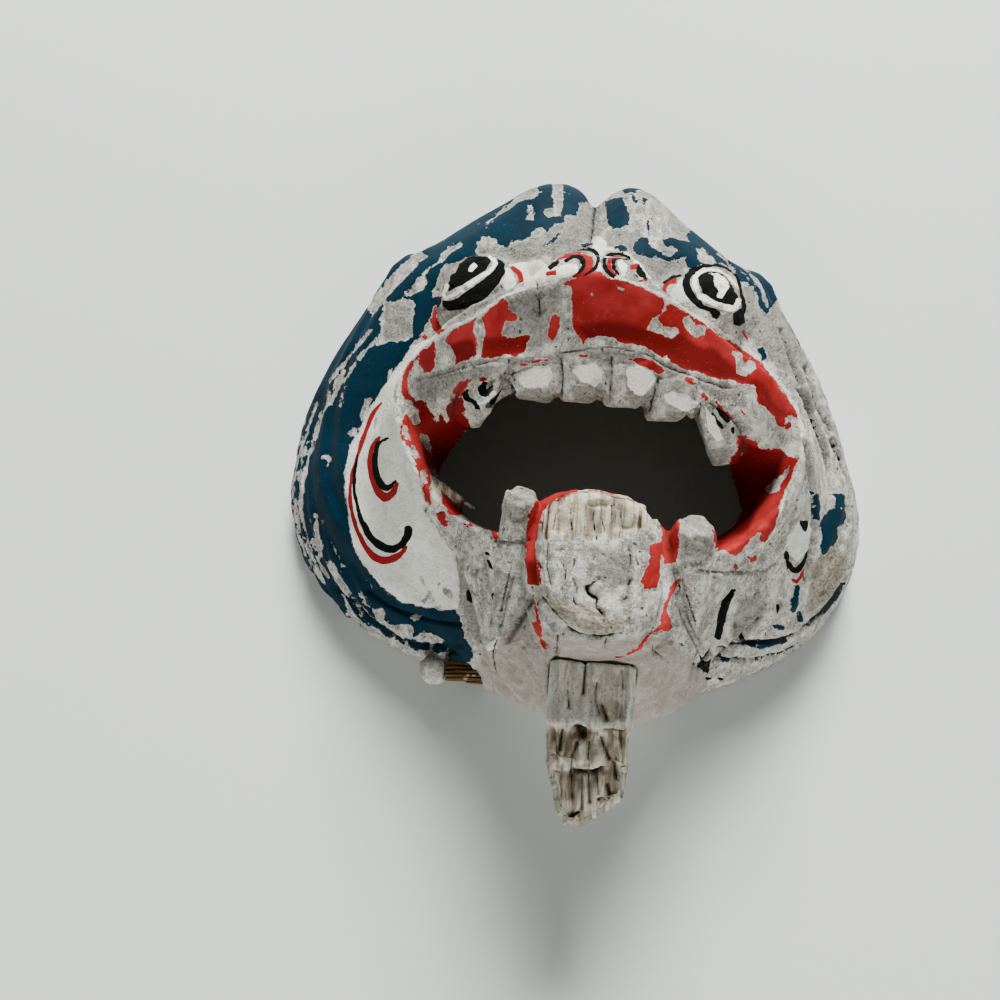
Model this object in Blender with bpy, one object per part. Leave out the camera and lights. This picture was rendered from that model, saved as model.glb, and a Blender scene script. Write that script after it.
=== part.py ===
"""Carved and painted wooden demon mask, lying on its back rim with the face up.

World axes: +X to the viewer's right, +Y towards the forehead, +Z out of the face.
The mask is one hollow carving. A weathered wooden peg sits in a slot in the chin,
and a short bamboo pin sits beside it under the left cheek.
"""
import math

import bmesh
import bpy
import mathutils
import numpy as np

# Driving sizes, in metres
WIDTH = 0.155            # rim to rim over the cheeks
LENGTH = 0.140           # forehead rim to the rim behind the chin
HEIGHT = 0.088           # back rim to the tip of the nose
RIM_WIDTH = 0.0085       # flat of the back rim, all round
WALL = 0.0135            # wood left between face and hollow, straight down
FIT = 0.0003             # gap between a pin or peg and its seat
PEG_WIDTH = 0.0170
PEG_DEPTH = 0.0130
PEG_LENGTH = 0.0300
PIN_RADIUS = 0.0026
PIN_LENGTH = 0.0092
PIN_NOTCH = 0.0046       # how far the notch round the pin reaches before and behind its axis
PIN_NOTCH_TOP = 0.0090   # and above it
OPEN_REACH = 0.030       # how far a cut runs on past the side where it is open
TOOTH_COUNT = 6
TOOTH_WIDTH = 0.0088
TOOTH_HEIGHT = 0.0125
TOOTH_THICKNESS = 0.0070
TOOTH_GAP = 0.00027      # from a tooth's side to the middle of the gap beside it
CANINE_LENGTHS = (1.55, 1.7)   # left and right, as shares of the other teeth
EYE_RADIUS = 0.0118
SPLINTER_WIDTH = 0.0030
SPLINTER_THICKNESS = 0.0016
LUMP_RADIUS = 0.0040
TUSK_RADII = (0.0038, 0.0044)   # left and right
TUSK_LENGTH = 0.0185

# The carving is laid out on a grid of steps: so many across, along and up
STEPS_ACROSS = 155
STEPS_ALONG = 140
STEPS_UP = 88
STEP = np.array([WIDTH / STEPS_ACROSS, LENGTH / STEPS_ALONG, HEIGHT / STEPS_UP])

# Closed outlines round the mouth: half width, y of the corners, reach above and below
# the corners, and how square each half is
RIM_LOOP = (77.5, 0.0, 84.0, 56.0, 2.0, 2.2)
LIP_LOOP = (43.4, -6.0, 10.4, 33.0, 3.2, 2.0)
GUM_LOOP = (38.5, -12.0, 4.8, 21.0, 2.6, 2.0)
HOLE_LOOP = (35.5, -15.0, 12.0, 12.5, 2.6, 2.2)

# Heights on each outline: top middle, corners, lowest of the sides, bottom middle
LIP_HEIGHTS = (88.0, 56.0, 50.0, 62.0, 1.9)
GUM_HEIGHTS = (78.0, 50.0, 42.0, 50.0, 3.0)
HOLE_HEIGHTS = (62.0, 32.0, 28.0, 31.0, 2.5)

# Chin, from the lip over its edge and back to the rim: how far it stands out past the
# straight line, and what share of the lip's height is left, in the middle and at the side
CHIN_HALF_WIDTH = 27.0
CHIN_SHARES = (0.0, 0.32, 0.58, 0.86, 1.0)
CHIN_MIDDLE_Y = (0.0, -12.5, -17.0, -8.5, 0.0)
CHIN_SIDE_Y = (0.0, -8.5, -13.0, -6.0, 0.0)
CHIN_MIDDLE_Z = (1.0, 0.80, 0.48, 0.12, 0.0)
CHIN_SIDE_Z = (1.0, 0.66, 0.44, 0.12, 0.0)
CHIN_TAPER = (1.0, 0.90, 0.83, 0.78, 0.76)
# Folded panel beside the chin: how far it stands out, the half widths where it starts and
# ends at the lip, how far these draw together below, and the shares where it fades out
CHIN_PANEL = 2.4
PANEL_INNER = (12.5, 15.5, 20.0)
PANEL_OUTER = (26.0, 28.5, 6.0)
PANEL_FADE = (0.40, 0.55)

# Dome of the face, at the cheeks and at the brow: height, fullness and roundness
CHEEK_DOME = (50.0, 2.6, 0.62)
BROW_DOME = (62.0, 3.4, 0.55)

# Rounded forms of the face: lift, place off the middle line, place along, reach of each
BROW_LOBE = (4.5, 14.0, 60.0, 11.0, 13.0)
EYE_SOCKET = (-7.5, 26.5, 20.0, 15.0, 11.0)
EAR = (7.0, 57.0, 43.0, 9.0, 8.0)
NOSTRIL = (2.4, 7.5, 11.0, 5.5, 5.0)
BROW_CREASE = (6.5, 3.6)          # depth and half width
MUZZLE_FALL = (0.6, 1.8, 0.02)    # slope over the nose and beside it, and how it steepens
CHEEK_GROOVE = (0.9, 5.0)         # depth and spacing

# The mask is not true: sideways lean of the low cheeks, skew of the middle line, how far
# the right cheek is tucked in, what share of its width the brow loses, and how far the
# right of the mouth is set down and its lip sags
CHEEK_LEAN = 6.2
SKEW = 0.053
RIGHT_TUCK = 8.5
BROW_NARROWING = 0.08
RIGHT_DROP = 2.6
RIGHT_SAG = 3.4

# Carved forms on the grid
EYE_CENTRE = (26.5, 22.0, 52.2)
EYE_BACK = 0.04
EYE_TURN = math.radians(13.0)
TUSK_BASES = ((-15.4, -39.8, 52.0), (16.8, -42.0, 52.0))
TUSK_SLANT = math.radians(24.0)
TUSK_SIDES = 11
TUSK_PROFILE = ((0.0, 1.25), (0.5, 1.05), (0.8, 0.95), (0.95, 0.75), (1.0, 0.4))
# Share of the height, width, and how far the front and back stand from the gum
TOOTH_PROFILE = ((0.0, 1.0, 0.15, 0.9), (0.38, 1.0, 0.55, 0.7), (0.62, 0.98, 0.5, 0.6),
                 (1.0, 0.93, 0.16, 0.35))
TOOTH_BEVEL = 0.24       # share of the half width that is bevelled in front
TOOTH_LEAN = 0.12        # how far a tooth leans forward, as a share of its height
TOOTH_TURN = 0.9         # how far a tooth turns to the side of the row, in radians
CANINE_POINT = 0.78      # width left at a canine's point, as a share
CANINE_SPLAY = 0.30      # how far its point stands out to the side, as a share of its height
# Half width, reach up and down, height and slope of each ring of the tongue
TONGUE_RINGS = ((14.0, 12.5, 13.0, 44.0, 0.0), (14.4, 14.0, 15.0, 61.0, 0.16),
                (13.6, 13.6, 14.8, 64.0, 0.18), (11.6, 11.6, 13.4, 65.0, 0.20),
                (11.2, 10.8, 13.0, 69.5, 0.30), (9.8, 9.0, 12.0, 71.0, 0.32))
TONGUE_MIDDLE = (0.0, -43.0)
TONGUE_POWER = 2.8       # how square it is
TONGUE_POINTS = 24

# Share along the splinter and its thickness there, as a share
SPLINTER_PROFILE = ((0.0, 1.0), (0.35, 1.15), (0.75, 0.9), (1.0, 0.35))
SPLINTER_ROOT = (-40.0, -17.0, 44.0)
SPLINTER_TIP = (-25.2, -26.8, 46.0)
# Share along the peg, then its left, right, top and bottom as shares of half width and depth
PEG_PROFILE = ((0.0, 1.0, 1.0, 1.0, 0.0), (0.42, 1.0, 1.0, 0.96, 0.0), (0.46, 0.98, 0.96, 0.86, 0.02),
               (0.62, 0.95, 1.0, 0.80, 0.05), (0.66, 0.90, 0.96, 0.66, 0.06),
               (0.80, 0.72, 0.94, 0.58, 0.10), (0.90, 0.66, 0.50, 0.52, 0.14),
               (1.0, 0.42, 0.00, 0.44, 0.22))
PEG_SECTION = ((0.0, 0.12), (0.0, 0.85), (0.1, 1.0), (0.34, 0.95), (0.62, 1.0), (0.92, 1.0),
               (1.0, 0.86), (1.0, 0.1), (0.9, 0.0), (0.1, 0.0))
PEG_SEAT_PLACE = (0.0, -57.0, 47.0)
PIN_PLACE = (-27.0, -54.0, 10.0)
LUMP_SHOWING = 0.7       # how far the lump's middle lies behind the pin's end, in radii

AROUND = 96              # columns of faces round the mouth
FACE_ROWS = 25           # rows from the lip to the rim
PALATE_ROWS = 4
MOUTH_ROWS = 3
HOLLOW_ROWS = 8
EYE_SEGMENTS = 20
LUMP_SEGMENTS = 10
PIN_SIDES = 16


def smooth_step(low, high, value):
    share = np.clip((value - low) / (high - low), 0.0, 1.0)
    return share * share * (3.0 - 2.0 * share)


def smooth_max(first, second, blend):
    share = np.clip(0.5 + 0.5 * (first - second) / blend, 0.0, 1.0)
    return second + (first - second) * share + blend * share * (1.0 - share)


def rounded(away, y, form):
    lift, middle_away, middle_y, reach_away, reach_y = form
    off = ((away - middle_away) / reach_away) ** 2 + ((y - middle_y) / reach_y) ** 2
    return lift * np.exp(-off)


def half_outline(loop, upper, count, gather):
    """Points from the middle of the top or bottom to the corner, gathered at the middle."""
    half_width, corner_y, rise, drop, top_power, bottom_power = loop
    power = top_power if upper else bottom_power
    reach = rise if upper else -drop
    angle = np.linspace(0.0, math.pi / 2.0, 2000)
    x = half_width * np.sin(angle) ** (2.0 / power)
    y = corner_y + reach * np.cos(angle) ** (2.0 / power)
    length = np.concatenate([[0.0], np.cumsum(np.hypot(np.diff(x), np.diff(y)))])
    stations = length[-1] * np.linspace(0.0, 1.0, count + 1) ** gather
    return np.stack([np.interp(stations, length, x), np.interp(stations, length, y)], axis=1)


def outline(loop, heights, gather):
    """One closed ring of AROUND points, from the top middle round the right side."""
    top, corner, side, bottom, power = heights
    quarter = AROUND // 4
    upper = half_outline(loop, True, quarter, 1.0)
    lower = half_outline(loop, False, quarter, gather)[::-1]
    upper_z = top - (top - corner) * (upper[:, 0] / loop[0]) ** power
    share = np.linspace(0.0, 1.0, quarter + 1)
    falling = corner + (side - corner) * smooth_step(0.0, 0.45, share)
    lower_z = falling + (bottom - side) * smooth_step(0.45, 1.0, share)
    right = np.vstack([np.column_stack([upper, upper_z])[:-1], np.column_stack([lower, lower_z])])
    left = right[1:-1][::-1] * np.array([-1.0, 1.0, 1.0])
    return np.vstack([right, left])


def rim_share(x, y):
    """0 at the middle of the face and 1 on the rim."""
    half_width, corner_y, rise, drop, top_power, bottom_power = RIM_LOOP
    across = np.abs(x) / half_width
    above = (across ** top_power + np.abs(y / rise) ** top_power) ** (1.0 / top_power)
    below = (across ** bottom_power + np.abs(y / drop) ** bottom_power) ** (1.0 / bottom_power)
    return np.where(y >= corner_y, above, below)


def dome(share, y, lower):
    upper = smooth_step(-5.0, 35.0, y)
    height, fullness, roundness = (low + (high - low) * upper
                                   for low, high in zip(CHEEK_DOME, BROW_DOME))
    return (height - lower) * (1.0 - np.clip(share, 0.0, 1.0) ** fullness) ** roundness


def face_height(x, y, lip, distance):
    """Height of the face at a place, which lies at a distance from its lip point."""
    share = rim_share(x, y)
    away = np.abs(x)
    height = dome(share, y, 0.0)
    # brow lobes, split by the crease
    height = height + rounded(away, y, BROW_LOBE)
    depth, half_width = BROW_CREASE
    crease = np.exp(-(x / half_width) ** 2) * smooth_step(24.0, 62.0, y) * (share < 0.97)
    height = height - depth * crease
    height = height + rounded(away, y, EYE_SOCKET) + rounded(away, y, EAR)
    # muzzle falls from the lip, gently over the nose and steeply beside it
    over_nose, beside_nose, steepening = MUZZLE_FALL
    slope = over_nose + (beside_nose - over_nose) * smooth_step(6.0, 24.0, away)
    muzzle = lip[:, 2] - slope * distance - steepening * distance ** 2
    height = smooth_max(height, muzzle, 5.0)
    height = height + rounded(away, y, NOSTRIL)
    # carved grooves that follow the rim of the cheeks
    inward = (1.0 - share) * (RIM_LOOP[2] + RIM_LOOP[3]) / 2.0
    sides = smooth_step(22.0, 40.0, away) * smooth_step(52.0, 30.0, y)
    depth, spacing = CHEEK_GROOVE
    wave = np.cos(inward * 2.0 * math.pi / spacing) * smooth_step(1.0, 3.0, inward)
    height = height + depth * wave * sides * smooth_step(17.0, 13.0, inward)
    return np.maximum(height, 0.0)


def chin_row(lip, rim, share):
    """The chin's own profile: out over the rim, then back under to it."""
    aside = np.clip(np.abs(lip[:, 0]) / CHIN_HALF_WIDTH, 0.0, 1.0)
    middle_y = np.interp(share, CHIN_SHARES, CHIN_MIDDLE_Y)
    middle_z = np.interp(share, CHIN_SHARES, CHIN_MIDDLE_Z)
    side_y = np.interp(share, CHIN_SHARES, CHIN_SIDE_Y)
    side_z = np.interp(share, CHIN_SHARES, CHIN_SIDE_Z)
    row = lip + (rim - lip) * share
    blend = aside ** 3
    # folded panel beside the chin, wide at the lip and drawn to a point below
    inner_low, inner_high, inner_draw = PANEL_INNER
    outer_low, outer_high, outer_draw = PANEL_OUTER
    inner = smooth_step(inner_low, inner_high, np.abs(lip[:, 0]) - inner_draw * share)
    outer = smooth_step(outer_high, outer_low, np.abs(lip[:, 0]) + outer_draw * share)
    fade_from, fade_to = PANEL_FADE
    panel = outer * inner * smooth_step(0.0, 0.05, share) * smooth_step(fade_to, fade_from, share)
    row[:, 1] += middle_y + (side_y - middle_y) * blend - CHIN_PANEL * panel
    row[:, 2] = lip[:, 2] * (middle_z + (side_z - middle_z) * blend)
    taper = np.interp(share, CHIN_SHARES, CHIN_TAPER)
    row[:, 0] = lip[:, 0] * taper + (rim[:, 0] - lip[:, 0] * CHIN_TAPER[-1]) * share ** 4
    return row


def lean(points):
    """The carver's mask is not true: it leans, and its middle line runs askew."""
    points = np.array(points, dtype=float)
    x, y, z = points.T.copy()
    low = 1.0 - smooth_step(0.0, 48.0, z)
    right = smooth_step(0.0, 45.0, x)
    shift_x = -SKEW * y - CHEEK_LEAN * low * smooth_step(-62.0, -45.0, y) - 0.4
    tuck = -RIGHT_TUCK * right * smooth_step(-20.0, 38.0, y)
    drop = -RIGHT_DROP * smooth_step(-30.0, 30.0, x) * smooth_step(40.0, 60.0, z)
    points[:, 0] *= 1.0 - BROW_NARROWING * smooth_step(5.0, 48.0, y)
    points[:, 0] += shift_x + tuck
    points[:, 1] += drop + RIGHT_DROP / 2.0 * smooth_step(40.0, 60.0, z)
    points[:, 2] -= RIGHT_SAG * smooth_step(2.0, 20.0, x) * smooth_step(60.0, 72.0, z)
    return points


def shell_rows():
    """All rings of the carving, from the back of the mouth over the face and back inside."""
    hole = outline(HOLE_LOOP, HOLE_HEIGHTS, 1.0)
    gum = outline(GUM_LOOP, GUM_HEIGHTS, 1.0)
    lip = outline(LIP_LOOP, LIP_HEIGHTS, 1.0)
    rim = outline(RIM_LOOP, (0.0, 0.0, 0.0, 0.0, 1.0), 1.75)
    rows = []
    for row in range(MOUTH_ROWS):
        rows.append(hole + (gum - hole) * row / MOUTH_ROWS)
    for row in range(PALATE_ROWS):
        rows.append(gum + (lip - gum) * row / PALATE_ROWS)
    chin = smooth_step(32.0, CHIN_HALF_WIDTH, np.abs(lip[:, 0])) * (lip[:, 1] < -20.0)
    for row in range(FACE_ROWS + 1):
        share = row / FACE_ROWS
        ring = lip + (rim - lip) * share
        distance = np.linalg.norm((rim - lip)[:, :2], axis=1) * share
        ring[:, 2] = face_height(ring[:, 0], ring[:, 1], lip, distance)
        if row == 0:
            ring[:, 2] = lip[:, 2]
        if row == FACE_ROWS:
            ring[:, 2] = 0.0
        chin_ring = chin_row(lip, rim, share)
        rows.append(ring + (chin_ring - ring) * chin[:, None])
    scale = 1.0 - RIM_WIDTH / (WIDTH / 2.0)
    inner = rim * np.array([scale, scale, 0.0])
    for row in range(HOLLOW_ROWS):
        share = row / HOLLOW_ROWS
        ring = inner + (hole - inner) * share
        hollow = dome(rim_share(ring[:, 0], ring[:, 1]) / scale, ring[:, 1], WALL / STEP[2])
        near_hole = smooth_step(0.45, 1.0, share)
        ring[:, 2] = hollow + (hole[:, 2] - hollow) * near_hole
        rows.append(ring)
    return rows


def new_object(name, mesh, collection):
    thing = bpy.data.objects.new(name, mesh)
    collection.objects.link(thing)
    return thing


def bent_grid(name, rows, collection):
    """A grid primitive bent round the mouth and over the rim, and welded to itself."""
    shape = bmesh.new()
    bmesh.ops.create_grid(shape, x_segments=len(rows), y_segments=AROUND, size=1.0)
    shape.verts.ensure_lookup_table()
    stack = np.array([lean(row) for row in rows]) * STEP
    for vertex in shape.verts:
        row = round((vertex.co.x + 1.0) / 2.0 * len(rows)) % len(rows)
        column = round((vertex.co.y + 1.0) / 2.0 * AROUND) % AROUND
        vertex.co = stack[row, column]
    bmesh.ops.remove_doubles(shape, verts=shape.verts, dist=0.00001)
    bmesh.ops.recalc_face_normals(shape, faces=shape.faces)
    mesh = bpy.data.meshes.new(name)
    shape.to_mesh(mesh)
    shape.free()
    return new_object(name, mesh, collection)


def loft(name, rings, collection):
    """A closed body through rings of as many points each, in metres."""
    shape = bmesh.new()
    loops = [[shape.verts.new(point) for point in ring] for ring in rings]
    count = len(loops[0])
    for lower, upper in zip(loops, loops[1:]):
        for index in range(count):
            after = (index + 1) % count
            shape.faces.new((lower[index], lower[after], upper[after], upper[index]))
    shape.faces.new(loops[0][::-1])
    shape.faces.new(loops[-1])
    bmesh.ops.recalc_face_normals(shape, faces=shape.faces)
    mesh = bpy.data.meshes.new(name)
    shape.to_mesh(mesh)
    shape.free()
    return new_object(name, mesh, collection)


def oval(middle, half_width, reach_up, reach_down, height, slope, power, count):
    """A flat-sided oval ring on the grid, level across and sloped along."""
    ring = []
    for index in range(count):
        angle = 2.0 * math.pi * index / count
        across = math.copysign(abs(math.sin(angle)) ** (2.0 / power), math.sin(angle))
        along = math.copysign(abs(math.cos(angle)) ** (2.0 / power), math.cos(angle))
        reach = reach_up if along > 0.0 else reach_down
        y = middle[1] + reach * along
        ring.append((middle[0] + half_width * across, y, height + slope * (y - middle[1])))
    return lean(ring) * STEP


def make_tongue(tools):
    rings = [oval(TONGUE_MIDDLE, half, up, down, height, slope, TONGUE_POWER, TONGUE_POINTS)
             for half, up, down, height, slope in TONGUE_RINGS]
    return loft("tongue", rings, tools)


def make_tusk(place, thickness, tools):
    base = lean([place])[0] * STEP
    lean_back = np.array([0.0, math.sin(TUSK_SLANT), math.cos(TUSK_SLANT)])
    along = np.array([0.0, math.cos(TUSK_SLANT), -math.sin(TUSK_SLANT)])
    rings = []
    for share, width in TUSK_PROFILE:
        centre = base + lean_back * TUSK_LENGTH * share
        ring = []
        for index in range(TUSK_SIDES):
            angle = 2.0 * math.pi * index / TUSK_SIDES
            radius = thickness * width
            ring.append(centre + radius * (math.sin(angle) * np.array([1.0, 0.0, 0.0])
                                           + math.cos(angle) * along))
        rings.append(ring)
    return loft("tusk", rings, tools)


def make_tooth(index, tools):
    """A tooth hangs from the gum with a blunt ridge across its front."""
    middle = (index + 0.5 - TOOTH_COUNT / 2.0) * TOOTH_WIDTH / STEP[0]
    aside = abs(middle) / GUM_LOOP[0]
    root_y = GUM_LOOP[1] + GUM_LOOP[2] * (1.0 - aside ** GUM_LOOP[4]) ** (1.0 / GUM_LOOP[4])
    root_z = GUM_HEIGHTS[0] - (GUM_HEIGHTS[0] - GUM_HEIGHTS[1]) * aside ** GUM_HEIGHTS[4]
    root = lean([(middle, root_y, root_z)])[0] * STEP
    outer = index in (0, TOOTH_COUNT - 1)
    slope = -(GUM_HEIGHTS[0] - GUM_HEIGHTS[1]) * GUM_HEIGHTS[4] * aside ** (GUM_HEIGHTS[4] - 1.0)
    slope *= math.copysign(1.0, middle) / GUM_LOOP[0]
    height = TOOTH_HEIGHT * (CANINE_LENGTHS[index > 0] if outer else 1.0)
    turn = math.copysign(TOOTH_TURN * aside ** 2, middle)
    rings = []
    for share, width, front, back in TOOTH_PROFILE:
        if outer and share == 1.0:
            width *= CANINE_POINT
        half = (TOOTH_WIDTH / 2.0 - TOOTH_GAP) * width
        bevel = half * TOOTH_BEVEL
        y_front = -TOOTH_THICKNESS * front
        y_back = TOOTH_THICKNESS * back
        flat = [(-half, y_back), (-half, y_front + bevel), (-half + bevel, y_front),
                (half - bevel, y_front), (half, y_front + bevel), (half, y_back)]
        forward = TOOTH_LEAN * height * share
        sideways = math.copysign(CANINE_SPLAY * height * share, middle) if outer else 0.0
        rings.append([(root[0] + x * math.cos(turn) - y * math.sin(turn) + sideways,
                       root[1] + x * math.sin(turn) + y * math.cos(turn) - forward,
                       root[2] + slope * x * (1.0 - share) - height * share) for x, y in flat])
    return loft("tooth", rings, tools)


def ball(name, centre, radius, segments, collection):
    shape = bmesh.new()
    bmesh.ops.create_uvsphere(shape, u_segments=segments, v_segments=segments // 2, radius=radius)
    bmesh.ops.translate(shape, verts=shape.verts, vec=centre)
    mesh = bpy.data.meshes.new(name)
    shape.to_mesh(mesh)
    shape.free()
    return new_object(name, mesh, collection)


def make_eye(side, tools):
    """A bulging eyeball turned outwards, and flat behind so that it stays in the wood."""
    centre = lean([(side * EYE_CENTRE[0], EYE_CENTRE[1], EYE_CENTRE[2])])[0] * STEP
    eye = ball("eye", (0.0, 0.0, 0.0), EYE_RADIUS, EYE_SEGMENTS, tools)
    turn = mathutils.Matrix.Rotation(side * EYE_TURN, 3, "Y")
    for vertex in eye.data.vertices:
        if vertex.co.z < 0.0:
            vertex.co.z *= EYE_BACK
        vertex.co = turn @ vertex.co + mathutils.Vector(centre)
    return eye


def make_splinter(tools):
    """A raw sliver torn from the left wall of the mouth and still held at one end."""
    root = lean([SPLINTER_ROOT])[0] * STEP
    tip = lean([SPLINTER_TIP])[0] * STEP
    rings = []
    for share, width in SPLINTER_PROFILE:
        centre = root + (tip - root) * share
        half = SPLINTER_WIDTH / 2.0 * width
        thin = SPLINTER_THICKNESS / 2.0 * width
        rings.append([centre + np.array(offset) for offset in
                      ((0.0, half, 0.0), (0.0, 0.0, thin), (0.0, -half, 0.0), (0.0, 0.0, -thin))])
    return loft("splinter", rings, tools)


def box_tool(name, low, high, collection):
    shape = bmesh.new()
    bmesh.ops.create_cube(shape, size=1.0)
    low = np.array(low)
    high = np.array(high)
    for vertex in shape.verts:
        vertex.co = low + (np.array(vertex.co) + 0.5) * (high - low)
    mesh = bpy.data.meshes.new(name)
    shape.to_mesh(mesh)
    shape.free()
    return new_object(name, mesh, collection)


def rod(name, middle, radius, length, collection):
    """A rod across the face, in metres."""
    shape = bmesh.new()
    bmesh.ops.create_cone(shape, cap_ends=True, segments=PIN_SIDES, radius1=radius,
                          radius2=radius, depth=length)
    turn = mathutils.Matrix.Rotation(math.pi / 2.0, 4, "Y")
    bmesh.ops.transform(shape, verts=shape.verts, matrix=mathutils.Matrix.Translation(middle) @ turn)
    mesh = bpy.data.meshes.new(name)
    shape.to_mesh(mesh)
    shape.free()
    return new_object(name, mesh, collection)


def make_peg(seat, pieces):
    """Weathered peg: square in its slot, split and broken off slantwise at the tip."""
    rings = []
    for share, left, right, top, bottom in PEG_PROFILE:
        y = seat[1] - PEG_LENGTH * share
        west = seat[0] - PEG_WIDTH / 2.0 * left
        east = seat[0] + PEG_WIDTH / 2.0 * right
        roof = seat[2] - PEG_DEPTH * (1.0 - top)
        floor = seat[2] - PEG_DEPTH * (1.0 - bottom)
        ring = []
        for across, up in PEG_SECTION:
            ring.append((west + (east - west) * across, y, floor + (roof - floor) * up))
        rings.append(ring)
    return loft("chin_peg", rings, pieces)


def give_material(thing, name, colour, roughness):
    material = bpy.data.materials.new(name)
    material.use_nodes = True
    shader = material.node_tree.nodes["Principled BSDF"]
    shader.inputs["Base Color"].default_value = (*colour, 1.0)
    shader.inputs["Roughness"].default_value = roughness
    shader.inputs["Metallic"].default_value = 0.0
    thing.data.materials.append(material)
    thing.data.shade_smooth()
    thing.data.set_sharp_from_angle(angle=math.radians(35.0))


def stand_on_origin(pieces):
    """Move everything so that the middle of the whole box is over the origin."""
    graph = bpy.context.evaluated_depsgraph_get()
    corners = [thing.matrix_world @ mathutils.Vector(corner)
               for thing in (piece.evaluated_get(graph) for piece in pieces.objects)
               for corner in thing.bound_box]
    middle = mathutils.Vector((0.0, 0.0, 0.0))
    for axis in (0, 1):
        values = [corner[axis] for corner in corners]
        middle[axis] = (min(values) + max(values)) / 2.0
    for thing in bpy.data.objects:
        thing.location -= middle


def add_boolean(target, tool, operation):
    change = target.modifiers.new(operation.lower() + "_" + tool.name, "BOOLEAN")
    change.operation = operation
    change.solver = "EXACT"
    change.object = tool
    tool.hide_render = True
    tool.display_type = "WIRE"


def main():
    for thing in list(bpy.data.objects):
        bpy.data.objects.remove(thing)
    pieces = bpy.data.collections.new("wooden_mask")
    bpy.context.scene.collection.children.link(pieces)
    tools = bpy.data.collections.new("carving_tools")
    bpy.context.scene.collection.children.link(tools)
    mask = bent_grid("mask", shell_rows(), pieces)
    for side in (-1.0, 1.0):
        add_boolean(mask, make_eye(side, tools), "UNION")
    for place, thickness in zip(TUSK_BASES, TUSK_RADII):
        add_boolean(mask, make_tusk(place, thickness, tools), "UNION")
    add_boolean(mask, make_tongue(tools), "UNION")
    for index in range(TOOTH_COUNT):
        add_boolean(mask, make_tooth(index, tools), "UNION")
    add_boolean(mask, make_splinter(tools), "UNION")

    # chin peg in its slot, open above and in front
    seat = lean([PEG_SEAT_PLACE])[0] * STEP
    peg = make_peg(seat, pieces)
    slot_low = (seat[0] - PEG_WIDTH / 2.0 - FIT, seat[1] - OPEN_REACH, seat[2] - PEG_DEPTH - FIT)
    slot_high = (seat[0] + PEG_WIDTH / 2.0 + FIT, seat[1] + FIT, seat[2] + OPEN_REACH)
    add_boolean(mask, box_tool("peg_slot", slot_low, slot_high, tools), "DIFFERENCE")

    # bamboo pin across a notch, between a lump of filler on the rim and the side of the chin
    pin_place = lean([PIN_PLACE])[0] * STEP
    lump_place = pin_place - np.array([PIN_LENGTH / 2.0 + LUMP_RADIUS * LUMP_SHOWING, 0.0, 0.0])
    add_boolean(mask, ball("filler_lump", lump_place, LUMP_RADIUS, LUMP_SEGMENTS, tools), "UNION")
    notch_reach = np.array([PIN_LENGTH / 2.0 + FIT, PIN_NOTCH, 0.0])
    notch_low = pin_place - notch_reach - np.array([0.0, 0.0, OPEN_REACH])
    notch_high = pin_place + notch_reach + np.array([0.0, 0.0, PIN_NOTCH_TOP])
    add_boolean(mask, box_tool("pin_notch", notch_low, notch_high, tools), "DIFFERENCE")
    pin = rod("side_pin", pin_place, PIN_RADIUS, PIN_LENGTH, pieces)

    give_material(mask, "painted_wood", (0.52, 0.51, 0.47), 0.7)
    give_material(peg, "weathered_wood", (0.29, 0.25, 0.20), 0.9)
    give_material(pin, "bamboo", (0.35, 0.24, 0.10), 0.5)
    stand_on_origin(pieces)


main()
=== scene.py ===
"""Carved and painted wooden mask, dressed over its solids and lit for a picture.

The fine carving is cut into a close mesh of each piece. The paint is laid out in the plane
of the picture, as outlines and strokes, and carried round the sides by the nearest seen wood.
"""
import math

import bmesh
import bpy
import numpy as np
from mathutils import Matrix, Vector
from mathutils.bvhtree import BVHTree
from mathutils.kdtree import KDTree


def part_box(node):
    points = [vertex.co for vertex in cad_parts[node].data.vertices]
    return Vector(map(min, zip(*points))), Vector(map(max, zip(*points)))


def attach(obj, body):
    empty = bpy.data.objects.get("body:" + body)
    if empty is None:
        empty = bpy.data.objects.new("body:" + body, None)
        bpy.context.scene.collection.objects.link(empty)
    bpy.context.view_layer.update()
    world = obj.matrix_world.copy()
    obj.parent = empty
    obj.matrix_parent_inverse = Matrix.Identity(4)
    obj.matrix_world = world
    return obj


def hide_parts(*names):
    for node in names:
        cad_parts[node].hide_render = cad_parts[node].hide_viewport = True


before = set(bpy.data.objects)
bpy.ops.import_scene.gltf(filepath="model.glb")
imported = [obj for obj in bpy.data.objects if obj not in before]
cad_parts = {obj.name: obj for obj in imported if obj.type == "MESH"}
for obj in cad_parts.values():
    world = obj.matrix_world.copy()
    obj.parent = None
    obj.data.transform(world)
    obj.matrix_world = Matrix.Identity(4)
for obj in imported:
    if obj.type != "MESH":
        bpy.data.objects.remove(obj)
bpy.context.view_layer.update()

MM = 0.001

# Picture: place and turn of the camera, and its focal length in picture points
CAMERA_PLACE = np.array([0.00430, -0.09149, 0.20420])
CAMERA_YAW = math.radians(13.5691)
CAMERA_PITCH = math.radians(65.6858)
CAMERA_ROLL = math.radians(-8.06)
FOCAL = 800.0
PICTURE = 1000.0
POINT_MM = 0.27           # size of a picture point on the mask
REACH = 3.0               # how far a paint edge is followed, in mm

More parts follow.
